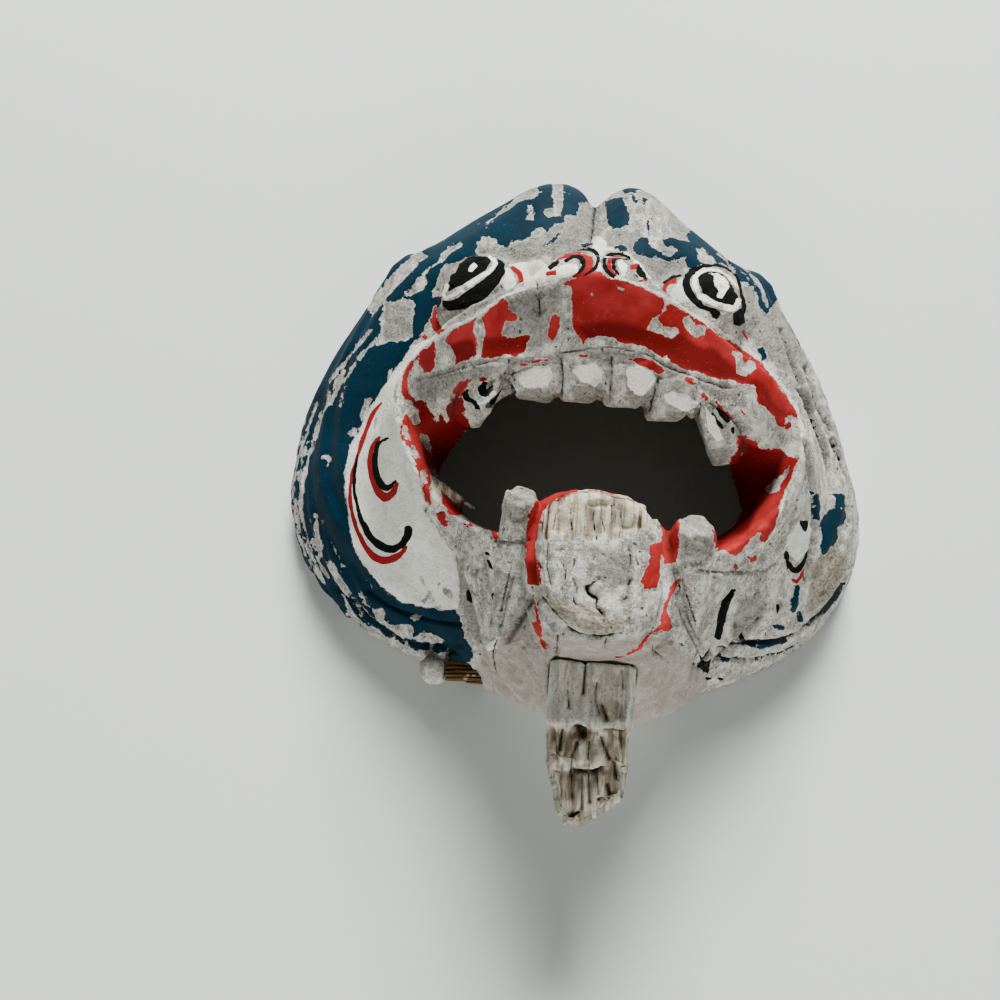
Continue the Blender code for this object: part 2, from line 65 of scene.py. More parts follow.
# Fine mesh
VOXEL = 0.90
HOLLOW_LEFT = 0.10        # share of the faces kept in the hollow, where nothing is carved
HIDDEN_LEFT = 0.34        # share kept on the far sides
PEG_VOXEL = 0.36
PIN_VOXEL = 0.26
SMOOTH_STEPS = (0.5, -0.52)   # in and out again, so that nothing shrinks
MASK_TURNS = 18
SMALL_TURNS = 3           # for the peg and the pin
SMALL_STRENGTH = 0.8
SIGHT_LIFT = 0.4          # how far off the wood a sight line starts, in mm
RIM_FLAT = 0.6            # how high the flat rim's faces reach, in mm
CHEEK_LINES = slice(6, 9)     # of the black strokes, drawn on a closer mesh

FLOOR_SIZE = 6.0
FLOOR_DROP = 0.0002       # keeps the floor clear of the flat rim


def camera_axes():
    ahead = np.array([-math.sin(CAMERA_YAW), math.cos(CAMERA_YAW), 0.0])
    right = np.array([math.cos(CAMERA_YAW), math.sin(CAMERA_YAW), 0.0])
    down = np.array([0.0, 0.0, -1.0])
    forward = ahead * math.cos(CAMERA_PITCH) + down * math.sin(CAMERA_PITCH)
    up = ahead * math.sin(CAMERA_PITCH) - down * math.cos(CAMERA_PITCH)
    turned_right = math.cos(CAMERA_ROLL) * right + math.sin(CAMERA_ROLL) * up
    turned_up = -math.sin(CAMERA_ROLL) * right + math.cos(CAMERA_ROLL) * up
    return turned_right, turned_up, forward


def to_picture(points):
    right, up, forward = camera_axes()
    offset = points - CAMERA_PLACE
    depth = offset @ forward
    across = PICTURE / 2.0 + FOCAL * (offset @ right) / depth
    down = PICTURE / 2.0 - FOCAL * (offset @ up) / depth
    return np.stack([across, down], axis=1)


# Paint outlines, in picture points
BLUE_LEFT = [(585, 180), (588, 203), (580, 203), (576, 216), (565, 217), (563, 223), (552, 225),
             (548, 234), (543, 228), (535, 228), (531, 238), (520, 241), (510, 243), (508, 250),
             (499, 246), (496, 239), (485, 237), (478, 242), (476, 252), (480, 258), (465, 258),
             (456, 262), (448, 265), (440, 272), (437, 283), (432, 296), (443, 296), (441, 303),
             (436, 312), (428, 322), (420, 338), (412, 345), (400, 362), (392, 375), (378, 395),
             (368, 410), (358, 430), (350, 445), (346, 465), (345, 490), (349, 515), (351, 540),
             (360, 560), (372, 575), (385, 590), (400, 601), (418, 606), (440, 610), (457, 609),
             (460, 618), (466, 640), (475, 655), (470, 662), (440, 668), (430, 680), (340, 650),
             (265, 560), (265, 420), (325, 325), (360, 280), (420, 235), (470, 200), (520, 170)]
BLUE_RIGHT = [(685, 205), (692, 224), (699, 229), (698, 233), (691, 231), (686, 234), (688, 241),
              (680, 240), (671, 238), (663, 240), (660, 244), (666, 247), (676, 248), (676, 252),
              (668, 258), (661, 253), (655, 248), (648, 245), (647, 237), (640, 238), (635, 243),
              (633, 248), (637, 256), (645, 255), (650, 258), (660, 258), (665, 262), (676, 261),
              (684, 258), (687, 266), (690, 269), (700, 265), (713, 263), (724, 264), (733, 270),
              (738, 280), (749, 285), (757, 292), (760, 308), (768, 313), (772, 306), (778, 299),
              (810, 300), (740, 220), (700, 190)]
BLUE_SMALL = [
    [(605, 202), (612, 198), (622, 197), (626, 205), (629, 213), (630, 226), (622, 229),
     (613, 229), (607, 222)],
    [(619, 180), (640, 180), (640, 191), (628, 194), (621, 191)],
    [(629, 193), (634, 194), (638, 203), (633, 203)],
    [(643, 196), (648, 199), (645, 206), (641, 203)],
    [(614, 247), (622, 244), (629, 250), (622, 253)],
    [(757, 349), (763, 347), (767, 357), (763, 361), (760, 356)],
    [(834, 493), (842, 493), (846, 515), (845, 522), (838, 528), (838, 538), (830, 548),
     (824, 556), (820, 553), (820, 545), (823, 538), (820, 522), (826, 513), (835, 508)],
]
BLUE_STROKES = [
    (4.0, [(815, 493), (818, 505), (818, 518)]),
    (6.0, [(798, 588), (795, 600), (793, 610)]),
    (4.5, [(842, 585), (835, 598), (825, 612)]),
    (5.0, [(799, 613), (800, 620)]),
    (4.0, [(803, 628), (809, 624)]),
    (6.0, [(721, 659), (730, 660), (736, 658)]),
    (2.4, [(736, 660), (760, 660), (778, 656), (790, 652), (800, 645)]),
    (5.5, [(749, 643), (757, 646), (768, 644), (785, 640)]),
    (4.0, [(787, 637), (792, 636)]),
    (4.0, [(776, 626), (782, 627)]),
    (3.4, [(809, 407), (814, 420), (820, 437)]),
    (2.6, [(788, 350), (793, 365), (799, 380)]),
    (2.6, [(808, 374), (813, 389), (820, 404)]),
    (2.4, [(833, 443), (840, 460), (845, 482)]),
    (4.0, [(583, 246), (592, 243)]),
    (3.0, [(548, 244), (556, 238), (562, 231)]),
    (2.4, [(648, 216), (649, 233)]),
]
# Places where the blue is gone
BLUE_LOST = [
    [(412, 654), (432, 654), (447, 652), (450, 690), (412, 690)],
    [(383, 300), (395, 302), (402, 298), (414, 301), (415, 312), (411, 322), (413, 338),
     (402, 342), (390, 341), (378, 346), (372, 343), (381, 332), (380, 318), (384, 308)],
    [(452, 264), (446, 264), (440, 270), (437, 282), (432, 291), (432, 297), (440, 296),
     (446, 290), (449, 280), (457, 268)],
    [(437, 262), (447, 248), (460, 240), (462, 245), (450, 253), (442, 263), (430, 268),
     (426, 276), (428, 284), (420, 292), (405, 296), (408, 287), (420, 277), (428, 268)],
    [(553, 180), (563, 180), (563, 206), (560, 216), (548, 217), (543, 213), (545, 208),
     (554, 207), (553, 198)],
    [(527, 204), (531, 203), (535, 214), (533, 220), (527, 219), (529, 212)],
    [(515, 200), (522, 190), (536, 184), (538, 196), (525, 199), (510, 207), (503, 212)],
    [(366, 305), (400, 268), (418, 250), (428, 257), (420, 262), (402, 280), (385, 300),
     (372, 316)],
    [(389, 368), (394, 369), (391, 379), (387, 376)],
    [(367, 398), (372, 400), (366, 413), (361, 424), (360, 414)],
    [(353, 428), (357, 428), (356, 434), (350, 437), (347, 434)],
    [(342, 392), (344, 393), (343, 407), (340, 406)],
    [(325, 455), (331, 457), (331, 463), (327, 467), (328, 460), (322, 457)],
    [(329, 560), (337, 567), (342, 575), (350, 590), (350, 600), (340, 595), (333, 580),
     (328, 567)],
    [(372, 608), (383, 610), (385, 620), (395, 625), (412, 625), (415, 635), (425, 632),
     (435, 635), (445, 640), (440, 645), (420, 640), (400, 638), (385, 630), (378, 620)],
    [(315, 535), (322, 540), (323, 553), (319, 560), (316, 550), (313, 540)],
    [(347, 608), (358, 615), (372, 627), (392, 640), (410, 648), (436, 652), (440, 664),
     (425, 664), (400, 657), (380, 645), (360, 630), (348, 618)],
    [(696, 249), (703, 249), (711, 256), (716, 263), (706, 264), (698, 259)],
    [(697, 222), (703, 224), (700, 231), (696, 229)],
]
BLUE_LOST_STROKES = [
    (3.0, [(512, 206), (500, 214), (488, 223)]),
    (3.4, [(718, 255), (727, 262), (733, 277)]),
    (2.6, [(744, 268), (758, 285), (768, 305)]),
    (3.6, [(384, 337), (370, 346), (357, 362), (348, 375), (338, 388), (330, 405)]),
    (3.2, [(344, 372), (330, 395), (320, 420), (312, 445), (306, 470), (301, 500), (304, 520)]),
    (2.6, [(372, 330), (350, 356), (330, 382)]),
    (2.4, [(318, 402), (308, 430), (300, 455), (295, 485), (297, 515), (303, 540)]),
    (3.0, [(316, 515), (317, 535), (321, 556)]),
    (2.6, [(308, 440), (303, 462), (300, 480)]),
    (2.2, [(305, 548), (313, 566), (325, 584)]),
    (2.4, [(412, 618), (418, 618)]),
]
RED_AREAS = [
    [(560, 284), (572, 279), (582, 275), (597, 271), (610, 279), (622, 281), (640, 287),
     (655, 294), (664, 300), (676, 306), (690, 315), (706, 325), (720, 335), (740, 347),
     (760, 363), (775, 380), (788, 398), (796, 415), (799, 422), (790, 414), (784, 418),
     (781, 427), (775, 425), (770, 416), (763, 408), (756, 404), (755, 386), (735, 381),
     (716, 378), (700, 373), (680, 368), (670, 361), (667, 353), (661, 358), (652, 352),
     (640, 345), (620, 343), (612, 338), (600, 336), (588, 339), (584, 346), (580, 338),
     (574, 330), (572, 312), (571, 294), (573, 287)],
    [(553, 309), (549, 325), (548, 337), (553, 341), (558, 331), (560, 320)],
    [(505, 299), (509, 303), (510, 312), (517, 315), (519, 320), (506, 322), (503, 330),
     (500, 335), (514, 338), (526, 334), (531, 337), (526, 345), (525, 353), (518, 357),
     (510, 355), (495, 358), (483, 358), (482, 348), (486, 333), (484, 324), (480, 318),
     (490, 308)],
    [(476, 318), (474, 330), (478, 345), (477, 356), (465, 361), (456, 365), (455, 352),
     (450, 346), (443, 340), (455, 329)],
    [(412, 363), (421, 352), (435, 342), (436, 352), (437, 369), (425, 374), (421, 366),
     (420, 357)],
    [(436, 306), (430, 320), (432, 328), (438, 334), (446, 330), (440, 324), (437, 315)],
    [(421, 339), (428, 332), (427, 340)],
    [(403, 383), (408, 380), (410, 392), (416, 402), (407, 400), (402, 393)],
    [(453, 390), (458, 383), (472, 379), (466, 388), (463, 395), (455, 396)],
    [(413, 400), (430, 402), (462, 397), (466, 415), (473, 432), (476, 440), (470, 470),
     (478, 515), (450, 516), (440, 500), (430, 505), (425, 500), (421, 480), (415, 462),
     (410, 450), (402, 438), (400, 425), (404, 415)],
    [(436, 514), (444, 512), (448, 524), (446, 528), (440, 522)],
    [(464, 524), (470, 522), (474, 525), (468, 528)],
    [(491, 517), (495, 516), (495, 524), (492, 523)],
    [(490, 530), (494, 527), (500, 540), (495, 539)],
    [(533, 505), (545, 488), (560, 480), (600, 480), (640, 494), (662, 504), (680, 518),
     (679, 540), (677, 562), (665, 563), (662, 552), (660, 545), (663, 530), (660, 515),
     (645, 505), (625, 498), (605, 494), (580, 491), (560, 500), (546, 508), (541, 525),
     (536, 545), (538, 560), (541, 586), (528, 584), (525, 560), (526, 540), (528, 520)],
    [(650, 545), (660, 542), (661, 552), (660, 575), (657, 588), (645, 590), (641, 580),
     (648, 565), (650, 558)],
    [(533, 622), (540, 620), (543, 632), (541, 640), (535, 632)],
    [(664, 610), (668, 612), (673, 628), (668, 632), (660, 628), (661, 618)],
    [(737, 436), (745, 435), (755, 440), (760, 448), (780, 448), (788, 458), (800, 458),
     (797, 466), (790, 480), (785, 490), (779, 505), (777, 520), (770, 535), (765, 543),
     (760, 540), (760, 532), (748, 540), (742, 552), (735, 556), (715, 547), (712, 530),
     (715, 505), (730, 470), (730, 460), (736, 450)],
    [(628, 359), (640, 358), (655, 363), (664, 371), (657, 374), (652, 370), (640, 366)],
    [(783, 428), (788, 420), (791, 425), (788, 431)],
    [(733, 566), (737, 564), (740, 569), (735, 571)],
    [(748, 557), (756, 556), (758, 561), (750, 563)],
]
RED_STROKES = [
    (4.5, [(412, 362), (406, 374), (403, 388), (406, 398)]),
    (2.4, [(533, 595), (536, 610), (538, 622)]),
    (2.4, [(541, 640), (545, 650)]),
    (4.2, [(678, 580), (672, 590), (666, 606)]),
    (3.2, [(661, 628), (648, 635), (638, 648), (625, 656), (617, 658)]),
    (3.2, [(716, 401), (724, 411), (735, 420)]),
    (3.0, [(702, 395), (708, 399)]),
    (4.0, [(685, 381), (690, 382)]),
    (3.0, [(722, 393), (727, 393)]),
    (4.0, [(742, 411), (745, 415)]),
    (2.4, [(522, 365), (532, 362), (549, 360)]),
    (2.2, [(580, 356), (586, 356)]),
]
# Painted shade: darker red on the muzzle's underside near the ledge and on the mouth's inner walls
RED_SHADE_AREAS = [
    [(571, 325), (600, 322), (640, 326), (680, 334), (716, 350), (745, 372), (768, 392),
     (784, 412), (775, 425), (756, 405), (752, 386), (716, 378), (690, 372), (660, 360),
     (640, 346), (612, 339), (588, 340)],
    [(482, 336), (531, 336), (526, 354), (510, 357), (483, 359)],
    [(442, 342), (474, 340), (478, 357), (456, 364)],
    [(404, 396), (440, 402), (466, 398), (478, 440), (455, 452), (462, 480), (480, 518),
     (452, 516), (436, 470), (425, 440), (410, 415)],
    [(737, 434), (760, 444), (786, 452), (776, 480), (760, 500), (745, 530), (720, 545),
     (712, 530), (735, 500), (732, 460)],
    [(524, 560), (540, 560), (542, 588), (526, 586)],
]
RED_LOST = [
    [(652, 319), (657, 315), (661, 325), (675, 328), (679, 333), (672, 339), (664, 337),
     (648, 331)],
    [(683, 317), (690, 316), (695, 323), (703, 328), (706, 333), (697, 338), (690, 333),
     (685, 326)],
    [(731, 350), (739, 352), (744, 361), (753, 361), (757, 368), (748, 377), (738, 373),
     (736, 361)],
    [(664, 303), (669, 301), (666, 312), (661, 316)],
    [(398, 402), (411, 402), (417, 412), (420, 423), (414, 425), (408, 415), (400, 412)],
    [(420, 432), (428, 437), (433, 450), (432, 455), (424, 446), (419, 440)],
    [(410, 440), (416, 448), (419, 458), (413, 458)],
    [(422, 468), (426, 470), (426, 484), (423, 485), (420, 475)],
    [(405, 425), (412, 440), (408, 442), (402, 430)],
    [(426, 402), (432, 397), (452, 400), (446, 405), (449, 420), (446, 424), (440, 412),
     (438, 424), (433, 416)],
    [(773, 480), (782, 475), (790, 465), (792, 468), (783, 480), (778, 492), (770, 494),
     (763, 490)],
    [(719, 522), (724, 522), (723, 532), (720, 537)],
    [(431, 468), (436, 470), (438, 480), (441, 488), (440, 505), (436, 510), (431, 502),
     (430, 488)],
    [(590, 291), (594, 293), (592, 297)],
    [(614, 285), (628, 291), (622, 290)],
]
WHITE_AREAS = [
    [(413, 345), (440, 336), (450, 332), (430, 345), (412, 362), (403, 380), (396, 398),
     (397, 415), (400, 432), (408, 448), (414, 465), (418, 482), (424, 503), (436, 520),
     (445, 535), (455, 550), (458, 575), (458, 609), (440, 610), (418, 606), (400, 601),
     (385, 590), (372, 575), (360, 560), (351, 540), (349, 515), (345, 490), (346, 465),
     (350, 445), (358, 430), (368, 410), (378, 395), (392, 375), (400, 362)],
    [(593, 235), (606, 240), (606, 250), (600, 262), (604, 272), (597, 273), (596, 262),
     (592, 250)],
    [(508, 266), (540, 260), (550, 268), (560, 266), (578, 266), (576, 274), (556, 281),
     (540, 283), (525, 287), (520, 275)],
    [(522, 372), (535, 368), (552, 366), (552, 378), (545, 387), (528, 388), (520, 382)],
    [(570, 370), (580, 366), (602, 367), (603, 378), (596, 388), (580, 380)],
    [(627, 367), (640, 366), (652, 371), (655, 380), (645, 390), (635, 394), (628, 385)],
    [(668, 393), (685, 395), (697, 400), (692, 413), (675, 407), (668, 400)],
    [(705, 405), (715, 420), (722, 435), (715, 440), (706, 425)],
    [(780, 452), (785, 444), (798, 441), (800, 452), (795, 458), (785, 460)],
    [(672, 290), (678, 281), (684, 277), (684, 292), (692, 300), (683, 304), (672, 298)],
    [(506, 268), (512, 272), (517, 281), (514, 289), (507, 290), (501, 284), (505, 276)],
    [(485, 645), (500, 636), (497, 648), (488, 652)],
    [(797, 522), (806, 520), (812, 530), (806, 552), (797, 562), (788, 552), (787, 540)],
]
WHITE_LOST_STROKES = [
    (2.6, [(421, 577), (427, 589), (434, 601)]),
    (2.4, [(440, 583), (432, 592), (425, 601)]),
    (7.0, [(446, 590), (451, 595)]),
    (3.0, [(424, 505), (432, 520), (444, 536), (453, 552)]),
    (2.2, [(398, 384), (394, 395), (398, 408)]),
    (3.0, [(411, 606), (425, 609), (440, 607)]),
    (2.4, [(376, 418), (374, 428)]),
    (3.0, [(560, 357), (561, 380), (560, 402)]),
    (3.0, [(610, 356), (610, 380), (608, 402)]),
]
WHITE_STROKES = [
    (4.0, [(410, 352), (440, 336), (452, 328), (475, 317), (500, 300), (525, 287), (545, 281)]),
    (4.2, [(610, 278), (622, 280), (640, 286), (655, 293), (664, 298), (690, 313), (706, 323),
           (722, 333), (740, 345), (760, 360), (775, 377), (788, 394), (798, 415), (802, 437)]),
    (3.0, [(398, 398), (400, 432), (409, 448), (416, 470), (423, 498), (432, 508)]),
    (3.0, [(800, 440), (801, 455), (795, 475), (783, 497), (779, 515), (770, 537), (745, 557)]),
    (3.0, [(605, 250), (614, 249), (626, 254), (640, 266), (650, 278)]),
    (3.0, [(480, 389), (486, 400), (478, 402)]),
]
BLACK_AREAS = [
    [(448, 293), (447, 286), (450, 275), (458, 265), (468, 258), (481, 256), (490, 258),
     (491, 263), (486, 270), (475, 276), (465, 282), (456, 288)],
    [(497, 259), (504, 265), (505, 273), (500, 283), (490, 294), (476, 304), (462, 310),
     (449, 311), (443, 306), (442, 300), (448, 301), (457, 298), (468, 290), (480, 282),
     (492, 272), (498, 264)],
    [(697, 277), (702, 271), (711, 270), (722, 274), (731, 283), (737, 295), (738, 305),
     (728, 305), (716, 301), (706, 294), (699, 286)],
    [(692, 297), (700, 303), (709, 306), (722, 310), (721, 315), (717, 320), (712, 318),
     (709, 312), (700, 309), (694, 304)],
    [(733, 314), (744, 306), (744, 320), (741, 326), (733, 325)],
    [(478, 388), (483, 381), (487, 384), (487, 390), (493, 382), (494, 390), (488, 397),
     (480, 396)],
    [(463, 394), (468, 389), (470, 397), (478, 400), (481, 409), (476, 408), (473, 402),
     (465, 400)],
    [(484, 407), (487, 402), (497, 392), (501, 386), (499, 397), (490, 407)],
    [(711, 416), (713, 413), (720, 422), (725, 428), (722, 430), (715, 422)],
    [(717, 407), (722, 409), (733, 420), (728, 424), (720, 416)],
    [(706, 420), (709, 424), (710, 434), (707, 433)],
    [(731, 428), (736, 427), (734, 434), (731, 432)],
    [(797, 520), (808, 520), (805, 533), (801, 530)],
    [(700, 655), (706, 662), (712, 658), (709, 668), (711, 674), (704, 672), (696, 667),
     (702, 664)],
    [(546, 268), (553, 262), (562, 260), (556, 267), (551, 271)],
    [(638, 266), (645, 273), (646, 279), (640, 278), (635, 272)],
    [(484, 552), (490, 551), (491, 556), (486, 555)],
    [(487, 559), (490, 560), (493, 569), (490, 567)],
    [(466, 590), (470, 592), (470, 604), (467, 600)],
    [(489, 598), (493, 592), (493, 600)],
]
BLACK_STROKES = [
    ((4, 8, 8.5, 8), [(703, 267), (693, 271), (687, 279), (687, 288), (692, 297), (699, 304)]),
    ((4, 3, 3, 6), [(703, 266), (717, 265), (729, 270), (738, 280), (742, 293), (744, 307),
                    (742, 321)]),
    ((2.5, 4.6, 4.6, 3), [(578, 250), (588, 249), (596, 253), (598, 261), (594, 269), (584, 276)]),
    ((3, 4.8, 4), [(565, 261), (572, 257), (580, 257), (584, 263), (582, 269), (578, 272)]),
    ((2, 4.6, 4), [(630, 258), (620, 254), (609, 255), (604, 262), (606, 270), (613, 277)]),
    ((2, 4, 3), [(628, 261), (620, 258), (614, 261), (614, 268), (618, 274)]),
    ((2, 4, 4.5), [(359, 455), (355, 475), (356, 498), (362, 520), (369, 535)]),
    ((4, 8, 7.5, 7), [(364, 523), (371, 537), (381, 546), (392, 549), (402, 544), (408, 535),
                      (409, 529)]),
    ((2, 6, 5, 9, 2), [(389, 438), (379, 444), (375, 458), (376, 473), (380, 484), (388, 488),
                       (396, 481)]),
    ((4, 6, 4), [(786, 553), (789, 565), (795, 571), (803, 564), (808, 553)]),
    ((2, 8, 4), [(736, 591), (728, 603), (723, 620), (719, 638)]),
    (5.0, [(742, 637), (744, 644)]),
    (3.0, [(664, 283), (672, 277), (680, 275)]),
    (2.0, [(760, 618), (746, 633), (730, 647), (716, 660)]),
    (3.6, [(778, 606), (778, 612)]),
    (3.0, [(707, 679), (711, 679)]),
    (2.6, [(719, 679), (722, 679)]),
    (3.0, [(677, 580), (679, 588)]),
]
PINK_AREAS = [
    [(485, 645), (497, 640), (515, 630), (530, 612), (538, 625), (560, 636), (590, 640),
     (620, 638), (650, 632), (668, 636), (680, 648), (705, 672), (700, 700), (670, 715),
     (640, 730), (560, 740), (500, 730), (470, 680)],
]
# Rings and strokes painted in a set order round the eyes, nostrils and cheeks
RED_LINES = [
    ((2, 5, 4, 4, 5, 9, 3), [(382, 403), (373, 413), (367, 428), (362, 445), (357, 462),
                             (352, 480), (351, 500), (355, 520), (361, 538), (367, 549),
                             (376, 557), (387, 560), (398, 556), (406, 547)]),
    ((4, 6, 6, 10, 4), [(380, 438), (373, 448), (371, 462), (373, 478), (378, 491), (386, 497),
                        (393, 493), (397, 484)]),
    ((3, 5, 9, 8, 3), [(557, 261), (567, 256), (580, 254), (588, 258), (589, 266), (582, 273),
                       (574, 276)]),
    ((5, 3), [(548, 274), (556, 273)]),
    ((2, 5, 3), [(624, 256), (614, 257), (609, 263), (610, 270), (615, 276)]),
    (5.0, [(632, 268), (637, 267)]),
    (3.0, [(640, 281), (646, 279)]),
    (4.0, [(512, 269), (519, 274), (521, 281)]),
    (5.0, [(664, 290), (667, 284), (674, 279)]),
    (4.0, [(793, 580), (798, 581), (807, 568)]),
    (3.0, [(481, 380), (486, 379)]),
    (2.6, [(743, 332), (748, 338)]),
]
# Bright white laid on top: the nostril centres, the fleck in the right pupil, and a painted
# highlight on the teeth's upper facets
WHITE_TOP_AND_TOOTH_HIGHLIGHTS = [
    [(556, 271), (561, 265), (569, 263), (577, 264), (579, 270), (574, 275), (564, 278),
     (557, 276)],
    [(617, 262), (622, 260), (627, 266), (626, 274), (620, 272)],
    [(709, 273), (714, 276), (715, 285), (720, 290), (717, 297), (722, 298), (727, 291),
     (731, 286), (726, 279), (718, 273)],
    [(518, 377), (531, 374), (533, 367), (549, 365), (552, 372), (547, 377), (549, 386),
     (531, 386), (524, 389), (520, 383)],
    [(571, 373), (576, 366), (596, 364), (603, 372), (601, 380), (594, 378), (589, 384),
     (581, 382), (577, 374)],
    [(626, 370), (640, 366), (652, 372), (656, 380), (648, 391), (640, 396), (630, 390)],
    [(664, 394), (672, 391), (688, 395), (698, 402), (694, 412), (682, 410), (668, 404)],
    [(706, 410), (714, 416), (720, 430), (724, 440), (716, 441), (708, 430)],
]
WHITE_LINES = [
    (4.0, [(490, 258), (495, 263), (490, 271), (478, 278), (466, 286), (456, 293), (447, 298),
           (444, 294), (447, 286)]),
    ((2.5, 3, 5, 5.5, 6, 5), [(736, 285), (728, 276), (716, 270), (704, 270), (696, 276),
                              (695, 285), (700, 294), (709, 301), (721, 306), (734, 308),
                              (739, 301)]),
    (5.0, [(470, 269), (474, 265)]),
    (4.0, [(487, 400), (494, 391)]),
]
CRACKS_AND_GROOVE_SHADE = [
    (0.9, 2.2, [(597, 203), (595, 215), (594, 230), (591, 243)]),
    (0.6, 1.6, [(536, 281), (538, 295), (538, 318)]),
    (0.7, 1.6, [(557, 636), (556, 650), (553, 665)]),
    (0.7, 1.8, [(606, 640), (604, 648), (600, 656)]),
    (0.8, 2.0, [(612, 357), (611, 380), (609, 402)]),
    (0.8, 2.0, [(560, 359), (561, 380), (559, 402)]),
    (0.8, 2.2, [(508, 380), (514, 392), (519, 412)]),
    (0.8, 2.0, [(660, 376), (653, 395), (648, 412)]),
    (0.8, 2.0, [(702, 402), (694, 420), (688, 433)]),
    (1.1, (4.0, 2.0, 3.2, 1.4), [(587, 586), (589, 593), (597, 598), (596, 606), (602, 613),
                                 (603, 621)]),
    (0.7, 1.8, [(596, 500), (594, 520), (597, 540)]),
    (0.7, 1.8, [(570, 505), (572, 525), (573, 541)]),
    (0.6, 1.6, [(630, 580), (626, 598)]),
    (0.5, 1.6, [(555, 512), (553, 530)]),
    (0.5, 1.6, [(612, 505), (612, 530)]),
    (0.5, 1.6, [(637, 518), (636, 560)]),
    (0.5, 1.6, [(540, 597), (546, 606), (556, 618), (566, 625)]),
    (0.6, 2.4, [(566, 628), (580, 635), (604, 637), (622, 634)]),
    (0.6, 1.6, [(600, 578), (592, 584), (587, 592), (594, 598)]),
    (0.6, 1.6, [(575, 560), (572, 575), (577, 588), (574, 601), (580, 606)]),
    (0.6, 1.6, [(632, 578), (627, 588), (630, 596), (622, 600)]),
    (0.5, 1.4, [(586, 506), (584, 524), (588, 542)]),
    (0.5, 1.4, [(604, 500), (602, 518), (606, 534)]),
    (0.5, 1.4, [(620, 508), (622, 526), (618, 540)]),
    (0.5, 1.4, [(560, 560), (566, 572), (562, 590)]),
    (0.5, 1.4, [(629, 548), (631, 562), (628, 574)]),
    (0.5, 1.4, [(548, 545), (546, 565), (550, 585)]),
    (0.6, 1.8, [(682, 580), (688, 600), (697, 622)]),
    (0.5, 1.4, [(652, 645), (656, 652), (664, 658)]),
    (0.7, 2.4, [(700, 668), (706, 658), (712, 650), (714, 640)]),
    (0.7, 2.2, [(693, 664), (702, 667), (710, 672)]),
    (0.5, 1.4, [(512, 560), (506, 585), (500, 612)]),
    (0.5, 1.4, [(497, 640), (492, 655), (496, 672)]),
    # the dark lines along the cheek's grooves below are painted shade
    (0.7, 2.2, [(811, 408), (814, 425), (820, 440), (826, 464)]),
    (0.7, 2.2, [(833, 443), (838, 456), (842, 474)]),
    (0.6, 2.0, [(716, 660), (730, 646), (746, 633), (760, 618)]),
    (0.6, 2.0, [(788, 350), (793, 365), (799, 380)]),
    (0.6, 2.0, [(808, 374), (813, 389), (820, 404)]),
    (0.8, 2.6, [(335, 588), (350, 600), (370, 618), (385, 631), (400, 641), (430, 646),
                (462, 645)]),
    (0.8, 2.6, [(721, 659), (745, 661), (778, 656), (800, 645)]),
    (0.6, 2.2, [(720, 648), (749, 643), (785, 640), (800, 632), (825, 612), (842, 585)]),
]
# Splits of the peg (depth, width, path), the block that stands proud on it, and brown wood
PEG_CRACKS = [
    (0.9, 2.6, [(585, 663), (584, 680), (583, 693)]),
    (0.5, 1.8, [(568, 690), (569, 706)]),
    (0.6, 2.2, [(597, 682), (595, 697), (599, 713)]),
    (0.5, 1.6, [(622, 670), (623, 688)]),
    (0.9, 3.2, [(602, 704), (607, 719)]),
    (1.3, 8.0, [(578, 727), (583, 735)]),
    (0.9, 4.0, [(605, 732), (613, 730), (622, 733)]),
    (0.9, 2.6, [(577, 742), (573, 756), (572, 775)]),
    (0.9, 2.4, [(589, 742), (588, 757), (589, 770)]),
    (0.8, 2.4, [(601, 738), (606, 750), (612, 765), (618, 780)]),
    (0.9, 2.2, [(573, 776), (573, 800)]),
    (0.9, 2.2, [(588, 776), (589, 804)]),
    (0.7, 2.0, [(597, 776), (598, 795)]),
    (0.7, 2.4, [(563, 733), (561, 750)]),
    (0.6, 2.0, [(555, 742), (557, 764)]),
    (0.9, 2.2, [(574, 771), (588, 773), (602, 771)]),
    (0.9, 3.4, [(608, 786), (610, 798)]),
    (0.8, 3.0, [(599, 801), (606, 803)]),
    (0.8, 3.0, [(571, 820), (576, 815)]),
    (0.7, 2.4, [(619, 734), (624, 750), (628, 767)]),
    (0.6, 2.0, [(581, 778), (581, 812)]),
]
PEG_BLOCK = [(572, 740), (578, 730), (600, 736), (604, 768), (590, 771), (573, 770)]
PEG_STAINS = [
    [(598, 701), (612, 699), (625, 704), (626, 722), (612, 722), (603, 724), (598, 714)],
    [(549, 728), (575, 724), (596, 735), (594, 743), (575, 745), (566, 765), (552, 765)],
    [(604, 727), (633, 729), (631, 746), (620, 742), (606, 738)],
    [(602, 760), (612, 762), (625, 790), (608, 802), (600, 785)],
    [(560, 772), (575, 776), (574, 805), (562, 800)],
]
PIN_SPLIT = 664.5         # picture row where the pin's smooth side ends and its grooves start
PIN_GROOVE = 4.4          # spacing of the grooves, in picture points
